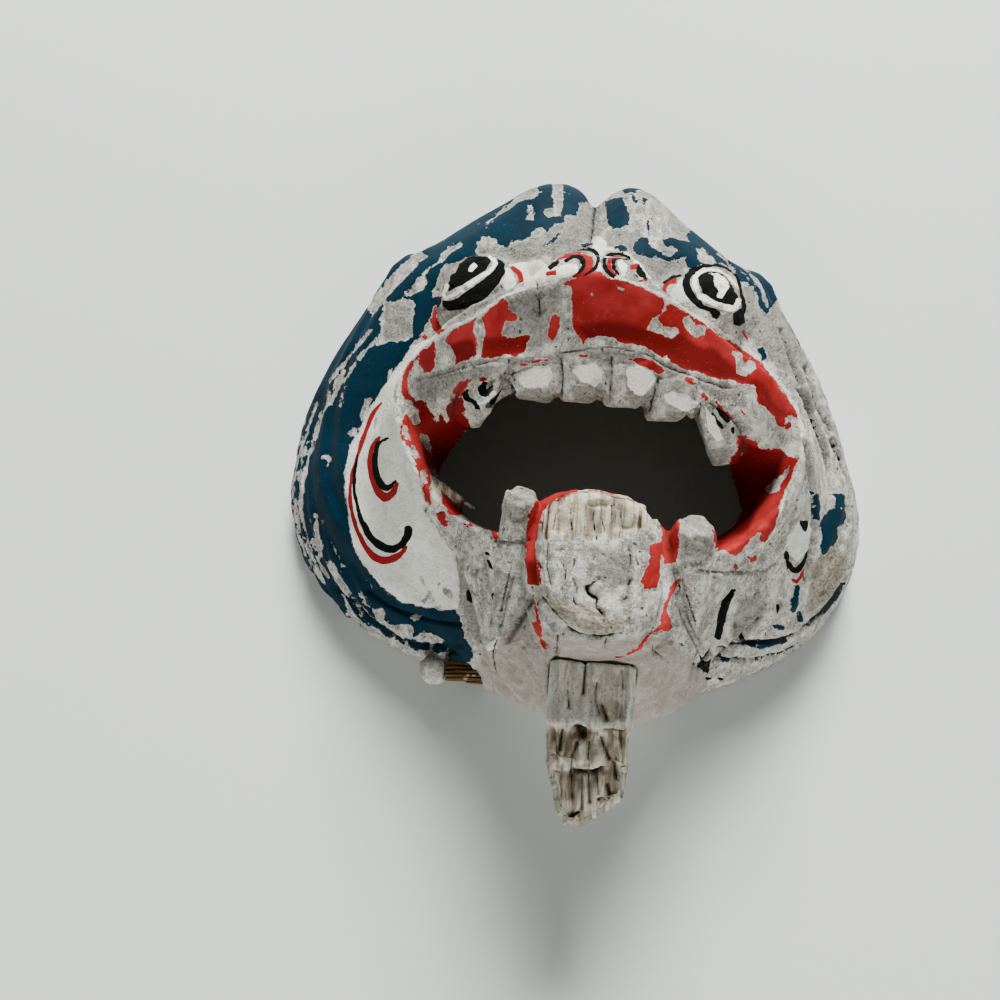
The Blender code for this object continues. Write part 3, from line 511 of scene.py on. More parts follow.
# Carved lines: height in mm, width and path; those below the wood are grooves
CARVING = [
    (-1.0, 4.5, [(452, 552), (457, 580), (461, 610), (470, 636), (480, 655), (492, 690)]),
    (0.7, 7.0, [(446, 534), (463, 560), (476, 598), (485, 640)]),
    (-1.0, 5.5, [(463, 566), (468, 590), (473, 615), (480, 640)]),
    (-0.8, 4.5, [(482, 560), (488, 590), (489, 625)]),
    (0.7, 7.0, [(497, 556), (499, 595), (493, 635)]),
    (-0.9, 4.5, [(516, 560), (508, 590), (500, 625)]),
    (-1.4, 12.0, [(529, 600), (518, 620), (506, 640)]),
    (-1.0, 5.0, [(677, 578), (680, 605), (690, 632), (700, 652)]),
    (-0.7, 4.0, [(682, 600), (690, 618), (698, 638)]),
    (-0.9, 5.0, [(714, 655), (718, 630), (723, 606), (734, 592)]),
    (0.7, 7.0, [(743, 586), (732, 612), (725, 645)]),
    (-1.0, 4.0, [(762, 616), (746, 633), (728, 648), (714, 662)]),
    (-0.8, 4.0, [(700, 571), (735, 573), (760, 572), (778, 562)]),
    (-1.0, 4.5, [(681, 562), (700, 565), (713, 552)]),
    (-1.0, 4.0, [(496, 541), (512, 543), (529, 540)]),
    (-0.8, 3.5, [(513, 519), (521, 520), (530, 515)]),
    (-2.2, 6.0, [(782, 330), (789, 350), (795, 366), (801, 384)]),
    (-2.4, 7.0, [(806, 368), (812, 386), (820, 407), (830, 430)]),
    (-2.4, 7.0, [(800, 388), (811, 410), (820, 436), (828, 464), (833, 492)]),
    (-2.0, 7.0, [(832, 440), (841, 464), (848, 492), (851, 522)]),
    (-2.0, 6.0, [(806, 445), (811, 475), (814, 510), (813, 545), (806, 580)]),
    (-1.1, 5.0, [(787, 310), (795, 332), (802, 348)]),
    (0.9, 7.0, [(799, 372), (808, 398), (818, 424), (827, 452)]),
    (0.9, 7.0, [(826, 425), (836, 452), (843, 480), (846, 505)]),
    (-1.2, 5.0, [(340, 592), (360, 610), (385, 632), (410, 644), (445, 648)]),
    (-1.0, 5.0, [(366, 590), (385, 604), (410, 615), (440, 622), (460, 624)]),
    (0.6, 7.0, [(372, 612), (395, 628), (425, 637)]),
    (-0.9, 5.0, [(745, 643), (785, 639), (812, 622), (838, 592), (850, 566)]),
    (-0.9, 5.0, [(718, 660), (760, 661), (790, 652), (822, 634), (848, 600)]),
    (-0.35, 5.0, [(418, 380), (450, 372), (480, 364), (515, 362), (550, 358)]),
    (-0.7, 4.0, [(555, 354), (600, 347), (640, 352), (665, 366), (700, 380), (730, 388)]),
    (-0.8, 4.0, [(700, 396), (730, 416), (742, 428)]),
    (-0.6, 4.0, [(480, 385), (505, 376), (530, 366), (552, 362)]),
    (0.6, 6.0, [(500, 300), (530, 290), (556, 284)]),
]
# Darker ground, partly dirt and partly painted shade on the teeth's lower facets, the ledge, the
# tusks, the grooves, the gaps beside the tongue and the brow; and brown grainy wood
GRIME_AND_SHADE_AREAS = [
    [(474, 244), (500, 250), (535, 238), (560, 222), (592, 205), (596, 250), (560, 258), (545, 256),
     (520, 264), (500, 268), (480, 258)],
    [(604, 230), (640, 232), (650, 250), (690, 262), (680, 280), (655, 285), (640, 268),
     (606, 246)],
    [(745, 285), (775, 300), (800, 335), (812, 375), (795, 380), (765, 352), (745, 335),
     (700, 305)],
    [(384, 302), (412, 306), (412, 338), (384, 340)],
    [(440, 270), (458, 262), (448, 282), (434, 298)],
    [(505, 300), (560, 285), (562, 300), (550, 340), (530, 352), (500, 345)],
    [(425, 545), (455, 590), (440, 600), (415, 560)],
    [(410, 382), (425, 374), (440, 372), (455, 366), (470, 362), (500, 359), (530, 357),
     (560, 352), (600, 348), (640, 352), (662, 362), (690, 375), (720, 383), (750, 384),
     (752, 392), (735, 397), (700, 390), (672, 378), (650, 366), (620, 357), (580, 357),
     (545, 361), (520, 366), (500, 372), (480, 380), (455, 386), (450, 396), (430, 400),
     (416, 397)],
    [(519, 389), (546, 388), (553, 392), (550, 403), (525, 411), (516, 406)],
    [(571, 386), (600, 384), (606, 392), (602, 403), (573, 402)],
    [(627, 386), (640, 393), (655, 392), (651, 408), (636, 406), (624, 400)],
    [(666, 410), (690, 413), (688, 432), (668, 422)],
    [(695, 440), (712, 448), (735, 446), (734, 456), (716, 471), (698, 458)],
    [(503, 500), (510, 490), (517, 500), (530, 496), (532, 515), (525, 528), (512, 524),
     (503, 512)],
    [(681, 535), (711, 535), (712, 550), (700, 563), (683, 556)],
    [(537, 232), (548, 236), (560, 226), (576, 220), (584, 232), (572, 243), (556, 239),
     (544, 247)],
    [(592, 545), (606, 552), (632, 552), (634, 582), (612, 590), (596, 578)],
    [(524, 590), (536, 597), (541, 614), (530, 620), (520, 640), (500, 642), (512, 612)],
    [(736, 598), (760, 596), (766, 612), (748, 634), (730, 646)],
    [(482, 292), (500, 284), (505, 292), (485, 304), (462, 316), (455, 312)],
    [(602, 640), (640, 650), (634, 664), (606, 664), (590, 660)],
    [(455, 552), (466, 572), (476, 610), (484, 640), (474, 640), (462, 612)],
    [(660, 240), (676, 246), (690, 262), (668, 262), (655, 252)],
    [(745, 300), (760, 316), (775, 350), (766, 350), (750, 325)],
]
# painted shade along the cheek's grooves, the panel grooves and the gaps between the teeth
GRIME_AND_SHADE_STROKES = [
    (5.0, [(783, 330), (790, 350), (796, 366), (802, 384)]),
    (5.0, [(807, 370), (813, 386), (821, 407), (830, 430)]),
    (5.0, [(801, 390), (812, 410), (821, 436), (829, 464), (834, 492)]),
    (5.0, [(833, 440), (842, 464), (849, 492), (852, 522)]),
    (4.0, [(807, 445), (812, 475), (815, 510), (814, 545)]),
    (5.0, [(682, 580), (686, 605), (694, 632), (702, 650)]),
    (5.0, [(462, 560), (468, 590), (474, 615), (481, 640)]),
    (5.0, [(558, 360), (561, 380), (560, 402)]),
    (5.0, [(609, 358), (610, 380), (608, 402)]),
    (5.0, [(658, 378), (652, 395), (647, 410)]),
]
STAIN_AREAS = [
    [(541, 590), (551, 598), (570, 603), (592, 605), (615, 612), (632, 622), (612, 634),
     (595, 634), (570, 628), (551, 612)],
    [(819, 548), (838, 545), (848, 560), (842, 590), (822, 606), (806, 600), (812, 570)],
]
LEDGE = [(412, 388), (440, 375), (470, 366), (500, 361), (550, 355), (600, 350), (640, 353),
         (662, 364), (700, 383), (745, 395), (775, 425)]
TORN_TONGUE = [(541, 532), (545, 510), (560, 498), (575, 493), (600, 493), (625, 500), (645, 506),
               (658, 517), (655, 532), (640, 528), (634, 540), (622, 534), (612, 545), (600, 534),
               (590, 542), (578, 532), (566, 546), (556, 534), (548, 545)]
SCAR = [(431, 480), (441, 487), (440, 505), (436, 509), (431, 500), (430, 490)]
SPLINTER = [(434, 474), (455, 480), (474, 497), (474, 511), (462, 507), (442, 493)]


def segment_distance(points, start, end):
    start = np.array(start, float)
    along = np.array(end, float) - start
    share = np.clip(((points - start) @ along) / max(along @ along, 1e-9), 0.0, 1.0)
    return np.linalg.norm(points - start - share[:, None] * along, axis=1)


def near(points, path, margin):
    path = np.array(path, float)
    low = path.min(axis=0) - margin
    high = path.max(axis=0) + margin
    return np.where(((points > low) & (points < high)).all(axis=1))[0]


def rounded_path(path, widths):
    """A smooth curve through the points of a path, and its width at each of its points."""
    path = np.array(path, float)
    widths = np.interp(np.linspace(0.0, 1.0, len(path)), np.linspace(0.0, 1.0, len(widths)), widths)
    if len(path) < 3:
        return path, widths
    ends = np.vstack([2.0 * path[0] - path[1], path, 2.0 * path[-1] - path[-2]])
    curve = []
    for index in range(len(path) - 1):
        before, start, end, after = ends[index:index + 4]
        for share in (0.0, 0.25, 0.5, 0.75):
            curve.append(0.5 * (2.0 * start + (end - before) * share
                                + (2.0 * before - 5.0 * start + 4.0 * end - after) * share ** 2
                                + (3.0 * start - before - 3.0 * end + after) * share ** 3))
    curve.append(path[-1])
    places = np.linspace(0.0, len(path) - 1.0, len(curve))
    return np.array(curve), np.interp(places, np.arange(len(path)), widths)


def stroke(points, width, path):
    """How deep each point lies in a stroke, in mm, negative outside. It can have several widths."""
    path, widths = rounded_path(path, width if isinstance(width, tuple) else (width, width))
    result = np.full(len(points), -REACH)
    chosen = near(points, path, REACH / POINT_MM + max(widths))
    if len(chosen):
        part = points[chosen]
        depth = np.full(len(chosen), -1e9)
        for start, end, width_here in zip(path, path[1:], (widths[1:] + widths[:-1]) / 2.0):
            depth = np.maximum(depth, width_here / 2.0 - segment_distance(part, start, end))
        result[chosen] = np.clip(depth * POINT_MM, -REACH, REACH)
    return result


def area(points, outline):
    """How deep each point lies in a closed outline, in mm, negative outside."""
    result = np.full(len(points), -REACH)
    chosen = near(points, outline, REACH / POINT_MM)
    if len(chosen):
        part = points[chosen]
        distance = np.full(len(chosen), 1e9)
        inside = np.zeros(len(chosen), bool)
        for start, end in zip(outline, outline[1:] + outline[:1]):
            distance = np.minimum(distance, segment_distance(part, start, end))
            (x0, y0), (x1, y1) = start, end
            if y0 != y1:
                crosses = (part[:, 1] > min(y0, y1)) & (part[:, 1] <= max(y0, y1))
                inside ^= crosses & (part[:, 0] < x0 + (part[:, 1] - y0) * (x1 - x0) / (y1 - y0))
        result[chosen] = np.clip(np.where(inside, distance, -distance) * POINT_MM, -REACH, REACH)
    return result


def union(points, areas, strokes):
    result = np.full(len(points), -REACH)
    for outline in areas:
        result = np.maximum(result, area(points, outline))
    for width, path in strokes:
        result = np.maximum(result, stroke(points, width, path))
    return result


def noise(points, size, seed):
    """Smooth noise from -1 to 1, with lumps of a given size (one number or three)."""
    grid = points / np.array(size)
    base = np.floor(grid).astype(np.int64)
    part = grid - base
    part = part * part * (3.0 - 2.0 * part)
    total = np.zeros(len(points))
    for corner in range(8):
        bits = np.array([corner & 1, corner >> 1 & 1, corner >> 2 & 1])
        place = base + bits
        mixed = place[:, 0] * 73856093 ^ place[:, 1] * 19349663 ^ place[:, 2] * 83492791
        mixed = (mixed ^ seed * 961748927) & 0x7FFFFFFF
        mixed = (mixed * 1103515245 + 12345) & 0x7FFFFFFF
        mixed = ((mixed ^ (mixed >> 15)) * 22695477 + 1) & 0x7FFFFFFF
        weight = np.prod(np.where(bits, part, 1.0 - part), axis=1)
        total += weight * (mixed / 0x7FFFFFFF * 2.0 - 1.0)
    return total


def smooth_step(low, high, value):
    share = np.clip((value - low) / (high - low), 0.0, 1.0)
    return share * share * (3.0 - 2.0 * share)


def close_mesh(node, name, voxel):
    """A copy of a solid with small even faces."""
    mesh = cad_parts[node].data.copy()
    shape = bmesh.new()
    shape.from_mesh(mesh)
    bmesh.ops.remove_doubles(shape, verts=shape.verts, dist=1e-6)
    shape.to_mesh(mesh)
    shape.free()
    holder = bpy.data.objects.new(name, mesh)
    bpy.context.scene.collection.objects.link(holder)
    change = holder.modifiers.new("close", "REMESH")
    change.mode = "VOXEL"
    change.voxel_size = voxel * MM
    graph = bpy.context.evaluated_depsgraph_get()
    fine = bpy.data.meshes.new_from_object(holder.evaluated_get(graph))
    holder.modifiers.clear()
    holder.data = fine
    fine.name = name
    fine.materials.clear()
    return holder


def vertex_places(mesh):
    places = np.zeros(len(mesh.vertices) * 3)
    mesh.vertices.foreach_get("co", places)
    return places.reshape(-1, 3)


def vertex_normals(mesh):
    normals = np.zeros(len(mesh.vertices) * 3, np.float32)
    mesh.vertices.foreach_get("normal", normals)
    return normals.reshape(-1, 3).astype(float)


def set_places(mesh, places):
    mesh.vertices.foreach_set("co", places.ravel())
    mesh.update()


def edge_ends(mesh):
    ends = np.zeros(len(mesh.edges) * 2, np.int64)
    mesh.edges.foreach_get("vertices", ends)
    return ends.reshape(-1, 2)


def neighbour_mean(values, ends, count):
    total = np.zeros_like(values)
    for axis in range(values.shape[1]):
        total[:, axis] = (np.bincount(ends[:, 0], values[ends[:, 1], axis], len(values))
                          + np.bincount(ends[:, 1], values[ends[:, 0], axis], len(values)))
    return total / count[:, None]


def smooth(mesh, turns, strength):
    """Smooths without shrinking, by a strength for each vertex."""
    ends = edge_ends(mesh)
    places = vertex_places(mesh)
    count = np.maximum(np.bincount(ends.ravel(), minlength=len(places)), 1).astype(float)
    for turn in range(turns):
        for step in SMOOTH_STEPS:
            places += step * strength[:, None] * (neighbour_mean(places, ends, count) - places)
    set_places(mesh, places)


def smoothed(mesh):
    """Smooths a small piece, and gives its vertices and their normals."""
    smooth(mesh, SMALL_TURNS, np.full(len(mesh.vertices), SMALL_STRENGTH))
    return vertex_places(mesh), vertex_normals(mesh)


def press(mesh, places, normals, relief, low, high):
    """Moves vertices along their normals by a relief in mm, and keeps them inside a box."""
    places = np.clip(places + normals * (relief * MM)[:, None], low, high)
    set_places(mesh, places)
    return places


def shade_smooth(mesh):
    for face in mesh.polygons:
        face.use_smooth = True


def refine(mesh, keep):
    """Splits the faces that pass a test into four."""
    shape = bmesh.new()
    shape.from_mesh(mesh)
    middles = np.array([face.calc_center_median() for face in shape.faces])
    facing = np.array([face.normal for face in shape.faces])
    chosen = keep(middles, facing)
    edges = set()
    for face, wanted in zip(shape.faces, chosen):
        if wanted:
            edges.update(face.edges)
    bmesh.ops.subdivide_edges(shape, edges=list(edges), cuts=1, use_grid_fill=True)
    shape.to_mesh(mesh)
    shape.free()


def boxed(points, low, high):
    return ((points > np.array(low)) & (points < np.array(high))).all(axis=1)


def put_attribute(mesh, name, values):
    attribute = mesh.attributes.new(name, "FLOAT", "POINT")
    attribute.data.foreach_set("value", np.asarray(values, np.float32))


# Mask
mask = close_mesh("mask", "carved_mask", VOXEL)
mesh = mask.data
places = vertex_places(mesh)
low_corner, high_corner = (np.array(corner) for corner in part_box("mask"))

TEETH_BOX = ((-0.026, -0.032, 0.044), (0.042, 0.006, 0.084))
TONGUE_BOX = ((-0.018, -0.066, 0.034), (0.036, -0.026, 0.080))
SLOT_BOX = ((-0.0030, -0.070, 0.030), (0.0200, -0.050, 0.056))
NOTCH_BOX = ((-0.034, -0.062, -0.001), (-0.012, -0.044, 0.021))
TUSK_BOXES = (((-0.017, -0.056, 0.044), (-0.001, -0.024, 0.076)),
              ((0.018, -0.058, 0.042), (0.034, -0.030, 0.074)))
SPLINTER_BOX = ((-0.036, -0.028, 0.040), (-0.016, -0.010, 0.050))
HOLLOW_MIDDLE = np.array([0.004, 0.012, 0.010])
strength = np.ones(len(places))
strength[boxed(places, *TEETH_BOX)] = 0.12
strength[boxed(places, *TONGUE_BOX)] = 0.25
strength[boxed(places, *SLOT_BOX)] = 0.06
strength[boxed(places, *NOTCH_BOX)] = 0.10
strength[boxed(places, *SPLINTER_BOX)] = 0.0
smooth(mesh, MASK_TURNS, strength)
right_axis, up_axis, forward_axis = camera_axes()


def shape_tree(mesh):
    return BVHTree.FromPolygons([tuple(place) for place in vertex_places(mesh)],
                                [tuple(face.vertices) for face in mesh.polygons])


def look(mesh):
    """Which vertices the camera sees, which lie in the hollow, and which on the flat rim."""
    places = vertex_places(mesh)
    normals = vertex_normals(mesh)
    tree = shape_tree(mesh)
    lifted = places + normals * SIGHT_LIFT * MM
    seen = np.zeros(len(places), bool)
    hollow = np.zeros(len(places), bool)
    faces_middle = ((HOLLOW_MIDDLE - places) * normals).sum(axis=1) > 0.0
    towards = CAMERA_PLACE - places
    towards /= np.linalg.norm(towards, axis=1)[:, None]
    for index in np.where((towards * normals).sum(axis=1) > 0.05)[0]:
        hit = tree.ray_cast(Vector(lifted[index]), Vector(towards[index]))
        seen[index] = hit[0] is None
    for index in np.where(faces_middle & ~seen)[0]:
        hit = tree.ray_cast(Vector(lifted[index]), Vector((0.0, 0.0, -1.0)))
        hollow[index] = hit[0] is None
    rim_flat = (places[:, 2] < RIM_FLAT * MM) & (normals[:, 2] < -0.6)
    return seen, hollow | rim_flat, rim_flat


def thin_out(holder, chosen, left):
    """Leaves only a share of the faces round some vertices."""
    group = holder.vertex_groups.new(name="thin")
    group.add([int(index) for index in np.where(chosen)[0]], 1.0, "REPLACE")
    change = holder.modifiers.new("thin", "DECIMATE")
    change.ratio = 1.0 - chosen.mean() * (1.0 - left)
    change.vertex_group = group.name
    change.vertex_group_factor = 1000.0
    graph = bpy.context.evaluated_depsgraph_get()
    thin = bpy.data.meshes.new_from_object(holder.evaluated_get(graph))
    holder.modifiers.clear()
    holder.vertex_groups.clear()
    thin.name = holder.data.name
    holder.data = thin
    return thin


DETAIL_AREAS = [
    [(430, 262), (470, 248), (515, 256), (525, 290), (500, 312), (450, 330), (432, 310)],
    [(655, 272), (700, 252), (750, 264), (755, 320), (720, 334), (690, 310)],
    [(540, 246), (650, 246), (650, 288), (540, 286)],
    [(460, 375), (520, 355), (640, 353), (745, 405), (740, 470), (715, 475), (620, 412),
     (550, 412), (470, 448)],
    [(440, 535), (497, 500), (515, 478), (540, 486), (600, 486), (700, 512), (720, 540),
     (770, 560), (770, 625), (712, 668), (640, 650), (560, 645), (490, 665), (455, 610)],
    [(424, 468), (480, 475), (480, 515), (424, 515)],
]


def wants_detail(middles, facing):
    picture = to_picture(middles)
    towards = ((CAMERA_PLACE - middles) * facing).sum(axis=1) > 0.0
    paths = [(9.0, path) for width, path in RED_LINES + BLACK_STROKES[CHEEK_LINES]]
    paths += [(6.0, path) for height, width, path in CARVING]
    return towards & (middles[:, 2] > 0.012) & (union(picture, DETAIL_AREAS, paths) > 0.0)


def snap(mesh, tree, chosen):
    """Lays vertices back on the solid, so that its edges stay crisp."""
    places = vertex_places(mesh)
    for index in np.where(chosen)[0]:
        found = tree.find_nearest(Vector(places[index]))
        places[index] = found[0]
    set_places(mesh, places)


mesh = thin_out(mask, look(mesh)[1], HOLLOW_LEFT)
mesh = thin_out(mask, ~look(mesh)[0], HIDDEN_LEFT)
refine(mesh, wants_detail)
places = vertex_places(mesh)
crisp = boxed(places, *SPLINTER_BOX)
for box in (TEETH_BOX, SLOT_BOX, NOTCH_BOX) + TUSK_BOXES:
    crisp |= boxed(places, *box)
snap(mesh, shape_tree(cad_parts["mask"].data), crisp)
places = vertex_places(mesh)
normals = vertex_normals(mesh)
picture = to_picture(places)
seen, hollow, rim_flat = look(mesh)

mm = places / MM
ragged = 0.55 * noise(mm, 1.9, 3) + 0.30 * noise(mm, 0.9, 4)
waver = 0.22 * noise(mm, 2.4, 5)

blue = union(picture, [BLUE_LEFT, BLUE_RIGHT] + BLUE_SMALL, BLUE_STROKES) + 0.4 * ragged
blue_lost = union(picture, BLUE_LOST, [])
blue_worn = union(picture, [], BLUE_LOST_STROKES) + 0.45 * noise(mm, (1.6, 1.6, 1.6), 8)
specks = 0.9 * noise(mm, 1.5, 9) + 0.5 * noise(mm, 4.0, 10) - 1.02

# Wear in streaks that run along the rim
FACE_MIDDLE = np.array([6.8, 1.5])
FACE_REACH = np.array([77.5, 70.0])
out_x, out_y = ((mm[:, :2] - FACE_MIDDLE) / FACE_REACH).T
out = np.hypot(out_x, out_y) * FACE_REACH[0]
around = np.arctan2(out_y, out_x) * FACE_REACH[0]
lap = np.stack([out, around, mm[:, 2]], axis=1)
streaks = noise(lap, (1.1, 16.0, 1.5), 11) + 0.6 * noise(lap, (0.7, 7.0, 1.0), 12)
outer = smooth_step(22.0, 8.0, mm[:, 2]) * smooth_step(-20.0, -45.0, mm[:, 0])
streaks = np.where(outer > 0.0, 1.3 * streaks - 1.35 + 0.95 * outer, -REACH)
specks = np.maximum(specks, streaks)
tool_marks = np.cos(2.0 * math.pi * (out / 2.6 + 0.35 * noise(lap, (4.0, 22.0, 6.0), 13)))
tool_marks *= smooth_step(26.0, 12.0, mm[:, 2]) * smooth_step(-30.0, -50.0, mm[:, 0])
blue = np.minimum(blue, -np.maximum(np.maximum(blue_lost + 0.5 * ragged, blue_worn), specks))
red = union(picture, RED_AREAS, RED_STROKES) + 0.4 * ragged
red = np.minimum(red, -np.maximum(union(picture, RED_LOST, []) + 0.5 * ragged, specks - 0.1))
white = union(picture, WHITE_AREAS, WHITE_STROKES) + 0.4 * ragged
white = np.minimum(white, -union(picture, [], WHITE_LOST_STROKES) - 0.5 * ragged)
pink = union(picture, PINK_AREAS, [])
bare = union(picture, [TORN_TONGUE, SCAR, SPLINTER], []) + 0.3 * ragged
# dirt, and painted shade on the teeth's lower facets, the ledge, the tusks, the grooves and the
# brow
grime_and_shade = union(picture, GRIME_AND_SHADE_AREAS, GRIME_AND_SHADE_STROKES) + 0.8 * ragged
# painted shade: ground whose normal points towards the forehead end is darkened
away_facing_shade = 1.7 * smooth_step(0.0, 0.6, normals[:, 1]) - 1.0
grime_and_shade = np.maximum(grime_and_shade, away_facing_shade + 0.5 * noise(mm, 6.0, 7))
stain = union(picture, STAIN_AREAS, []) + 0.8 * ragged
# painted shade on the red, where the muzzle's underside and the mouth's walls turn from the light
red_shade = union(picture, RED_SHADE_AREAS, []) + 1.2 * noise(mm, 5.0, 6)
black = union(picture, BLACK_AREAS, BLACK_STROKES) + waver
red_line = union(picture, [], RED_LINES) + waver
# white lines, and a painted highlight on the teeth's upper facets
white_line_and_tooth_highlight = np.maximum(union(picture, [], WHITE_LINES) + waver,
                        union(picture, WHITE_TOP_AND_TOOTH_HIGHLIGHTS, []) + 0.45 * ragged)
# cracks, and painted shade along the cheek's grooves
crack_and_groove_shade = np.full(len(places), -REACH)
relief = np.zeros(len(places))
for depth, width, path in CRACKS_AND_GROOVE_SHADE:
    line = stroke(picture, width, path)
    crack_and_groove_shade = np.maximum(crack_and_groove_shade, line)
    relief -= depth * smooth_step(-0.45, 0.25, line)
for height, width, path in CARVING:
    line = stroke(picture, width, path)
    relief += height * smooth_step(-0.1, width * POINT_MM / 2.0, line)

# Hidden wood takes its paint from the nearest seen wood, then from plain rules
x, y, z = mm.T
layers = {"blue": blue, "red": red, "white": white, "pink": pink, "bare": bare, "black": black,
          "red_line": red_line, "white_line_and_tooth_highlight": white_line_and_tooth_highlight, "crack_and_groove_shade": crack_and_groove_shade, "grime_and_shade": grime_and_shade,
          "stain": stain, "red_shade": red_shade}
shadow_side = smooth_step(25.0, 45.0, y) * smooth_step(68.0, 50.0, z)
left_side = smooth_step(-40.0, -55.0, x) * smooth_step(30.0, 15.0, z)
blue_sides = np.maximum(shadow_side, left_side)
rules = {name: np.full(len(places), -REACH) for name in layers}
rules["blue"] = -REACH + (REACH + 1.4 + 2.2 * noise(mm, 6.0, 21)) * blue_sides
rules["white"] = 1.2 + 2.5 * noise(mm, 7.0, 22)
rules["grime_and_shade"] = 1.4 * noise(mm, 9.0, 23) - 1.2
seen_index = np.where(seen)[0]
finder = KDTree(len(seen_index))
for row, index in enumerate(seen_index):
    finder.insert(places[index], row)
finder.balance()
hidden_index = np.where(~seen & ~hollow)[0]
source = np.zeros(len(hidden_index), np.int64)
gap = np.zeros(len(hidden_index))
for row, index in enumerate(hidden_index):
    found = finder.find(places[index])
    source[row] = seen_index[found[1]]
    gap[row] = found[2] / MM
share = smooth_step(2.0, 9.0, gap)
for name, values in layers.items():
    values[hidden_index] = values[source] * (1.0 - share) + rules[name][hidden_index] * share
    values[hollow] = -REACH

# Fine carving, in mm along the normal
open_side = (~hollow).astype(float)
relief = relief * seen
relief += open_side * (0.25 * noise(mm, 8.0, 31) + 0.13 * noise(mm, 3.2, 32))
relief += open_side * 0.38 * tool_marks
relief += 0.55 * smooth_step(-2.0, 1.0, stroke(picture, 10.0, LEDGE)) * seen
inside_bare = smooth_step(-0.3, 0.5, bare)
grain = noise(mm, (0.85, 9.0, 9.0), 41) + 0.6 * noise(mm, (0.6, 5.0, 5.0), 42)
relief -= inside_bare * np.where(boxed(places, *SPLINTER_BOX), 0.15, 1.3) * np.maximum(grain, 0.0)
coat = np.maximum.reduce([blue, red, white])
rough_ground = open_side * (1.0 - smooth_step(-0.2, 0.4, coat))
relief += rough_ground * (0.13 * noise(mm, 1.3, 44) + 0.12 * noise(mm, 2.2, 45))
relief += rough_ground * 0.16 * noise(mm, (1.5, 6.0, 4.0), 48)
relief -= rough_ground * 0.5 * smooth_step(0.45, 0.8, noise(mm, 1.6, 46))
relief += 0.16 * smooth_step(-0.25, 0.25, coat) * open_side
relief -= smooth_step(-0.5, 0.8, stain) * 0.5 * np.maximum(noise(mm, 1.0, 47), 0.0)
relief[hollow] = (0.30 * noise(mm, (5.0, 14.0, 8.0), 51))[hollow]
relief[rim_flat] = 0.0
keep_slot = boxed(places, (-0.0010, -0.070, 0.032), (0.0182, -0.0545, 0.050))
relief[keep_slot] = np.minimum(relief[keep_slot], 0.0)
places = press(mesh, places, normals, relief, low_corner, high_corner)

ends = edge_ends(mesh)
count = np.maximum(np.bincount(ends.ravel(), minlength=len(places)), 1).astype(float)
normals = vertex_normals(mesh)
bent = ((neighbour_mean(places, ends, count) - places) * normals).sum(axis=1) / MM
for turn in range(3):
    bent = neighbour_mean(bent[:, None], ends, count)[:, 0]

for name, values in layers.items():
    put_attribute(mesh, name, values)
put_attribute(mesh, "inner", np.where(hollow, 1.0, 0.0))
put_attribute(mesh, "bent", bent)
shade_smooth(mesh)


# Chin peg and bamboo pin
peg = close_mesh("chin_peg", "weathered_peg", PEG_VOXEL)
peg_low, peg_high = (np.array(corner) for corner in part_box("chin_peg"))
places, normals = smoothed(peg.data)
mm = places / MM
picture = to_picture(places)
outward = smooth_step(720.0, 738.0, picture[:, 1] + 5.0 * noise(mm, (1.6, 4.0, 4.0), 60))
fibre = noise(mm, (0.7, 7.0, 1.2), 61) + 0.7 * noise(mm, (0.45, 3.0, 0.8), 62)
split = np.maximum(noise(mm, (1.1, 9.0, 3.0), 63) - 0.2, 0.0)
ledges = np.maximum(noise(mm, (2.2, 1.6, 2.6), 64), 0.0) * outward
block = area(picture, PEG_BLOCK) + 0.4 * noise(mm, (0.8, 3.0, 3.0), 65)
sunk = outward * (0.75 * smooth_step(0.2, -0.3, block)
                  + 0.5 * smooth_step(770.0, 773.0, picture[:, 1]))
peg_relief = -(0.14 + 0.45 * outward) * np.maximum(fibre, 0.0) - 1.2 * split * outward
peg_relief -= 0.5 * ledges + sunk
for depth, width, path in PEG_CRACKS:
    line = stroke(picture, width, path) + 0.12 * fibre
    peg_relief -= depth * smooth_step(-0.45, 0.2, line)
peg_crack = union(picture, [], [(width, path) for depth, width, path in PEG_CRACKS])
peg_stain = union(picture, PEG_STAINS, []) + 0.8 * noise(mm, (1.0, 3.0, 3.0), 66)
seen_side = normals[:, 2] > -0.2
peg_relief = np.where(seen_side, peg_relief, -(0.14 + 0.4 * outward) * np.maximum(fibre, 0.0))
press(peg.data, places, normals, peg_relief, peg_low, peg_high)
put_attribute(peg.data, "worn", outward)
put_attribute(peg.data, "depth_shade", -peg_relief)
put_attribute(peg.data, "crack_and_groove_shade", np.where(seen_side, peg_crack + 0.10 * fibre, -REACH))
put_attribute(peg.data, "stain", np.where(seen_side, peg_stain, -REACH))
shade_smooth(peg.data)

pin = close_mesh("side_pin", "bamboo_pin", PIN_VOXEL)
pin_low, pin_high = (np.array(corner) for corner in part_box("side_pin"))
places, normals = smoothed(pin.data)
mm = places / MM
down = to_picture(places)[:, 1] + 0.5 * noise(mm, (3.0, 0.8, 0.8), 71)
under = smooth_step(PIN_SPLIT - 1.0, PIN_SPLIT + 1.0, down)
grooves = smooth_step(0.1, 0.9, np.cos(2.0 * math.pi * (down - PIN_SPLIT) / PIN_GROOVE))
pin_relief = -0.30 * under * grooves
press(pin.data, places, normals, pin_relief, pin_low, pin_high)
put_attribute(pin.data, "under", under)
put_attribute(pin.data, "depth_shade", -pin_relief)
shade_smooth(pin.data)


# Sockets of the mix node that carry colours
MIX_FIRST, MIX_SECOND, MIX_RESULT = 6, 7, 2


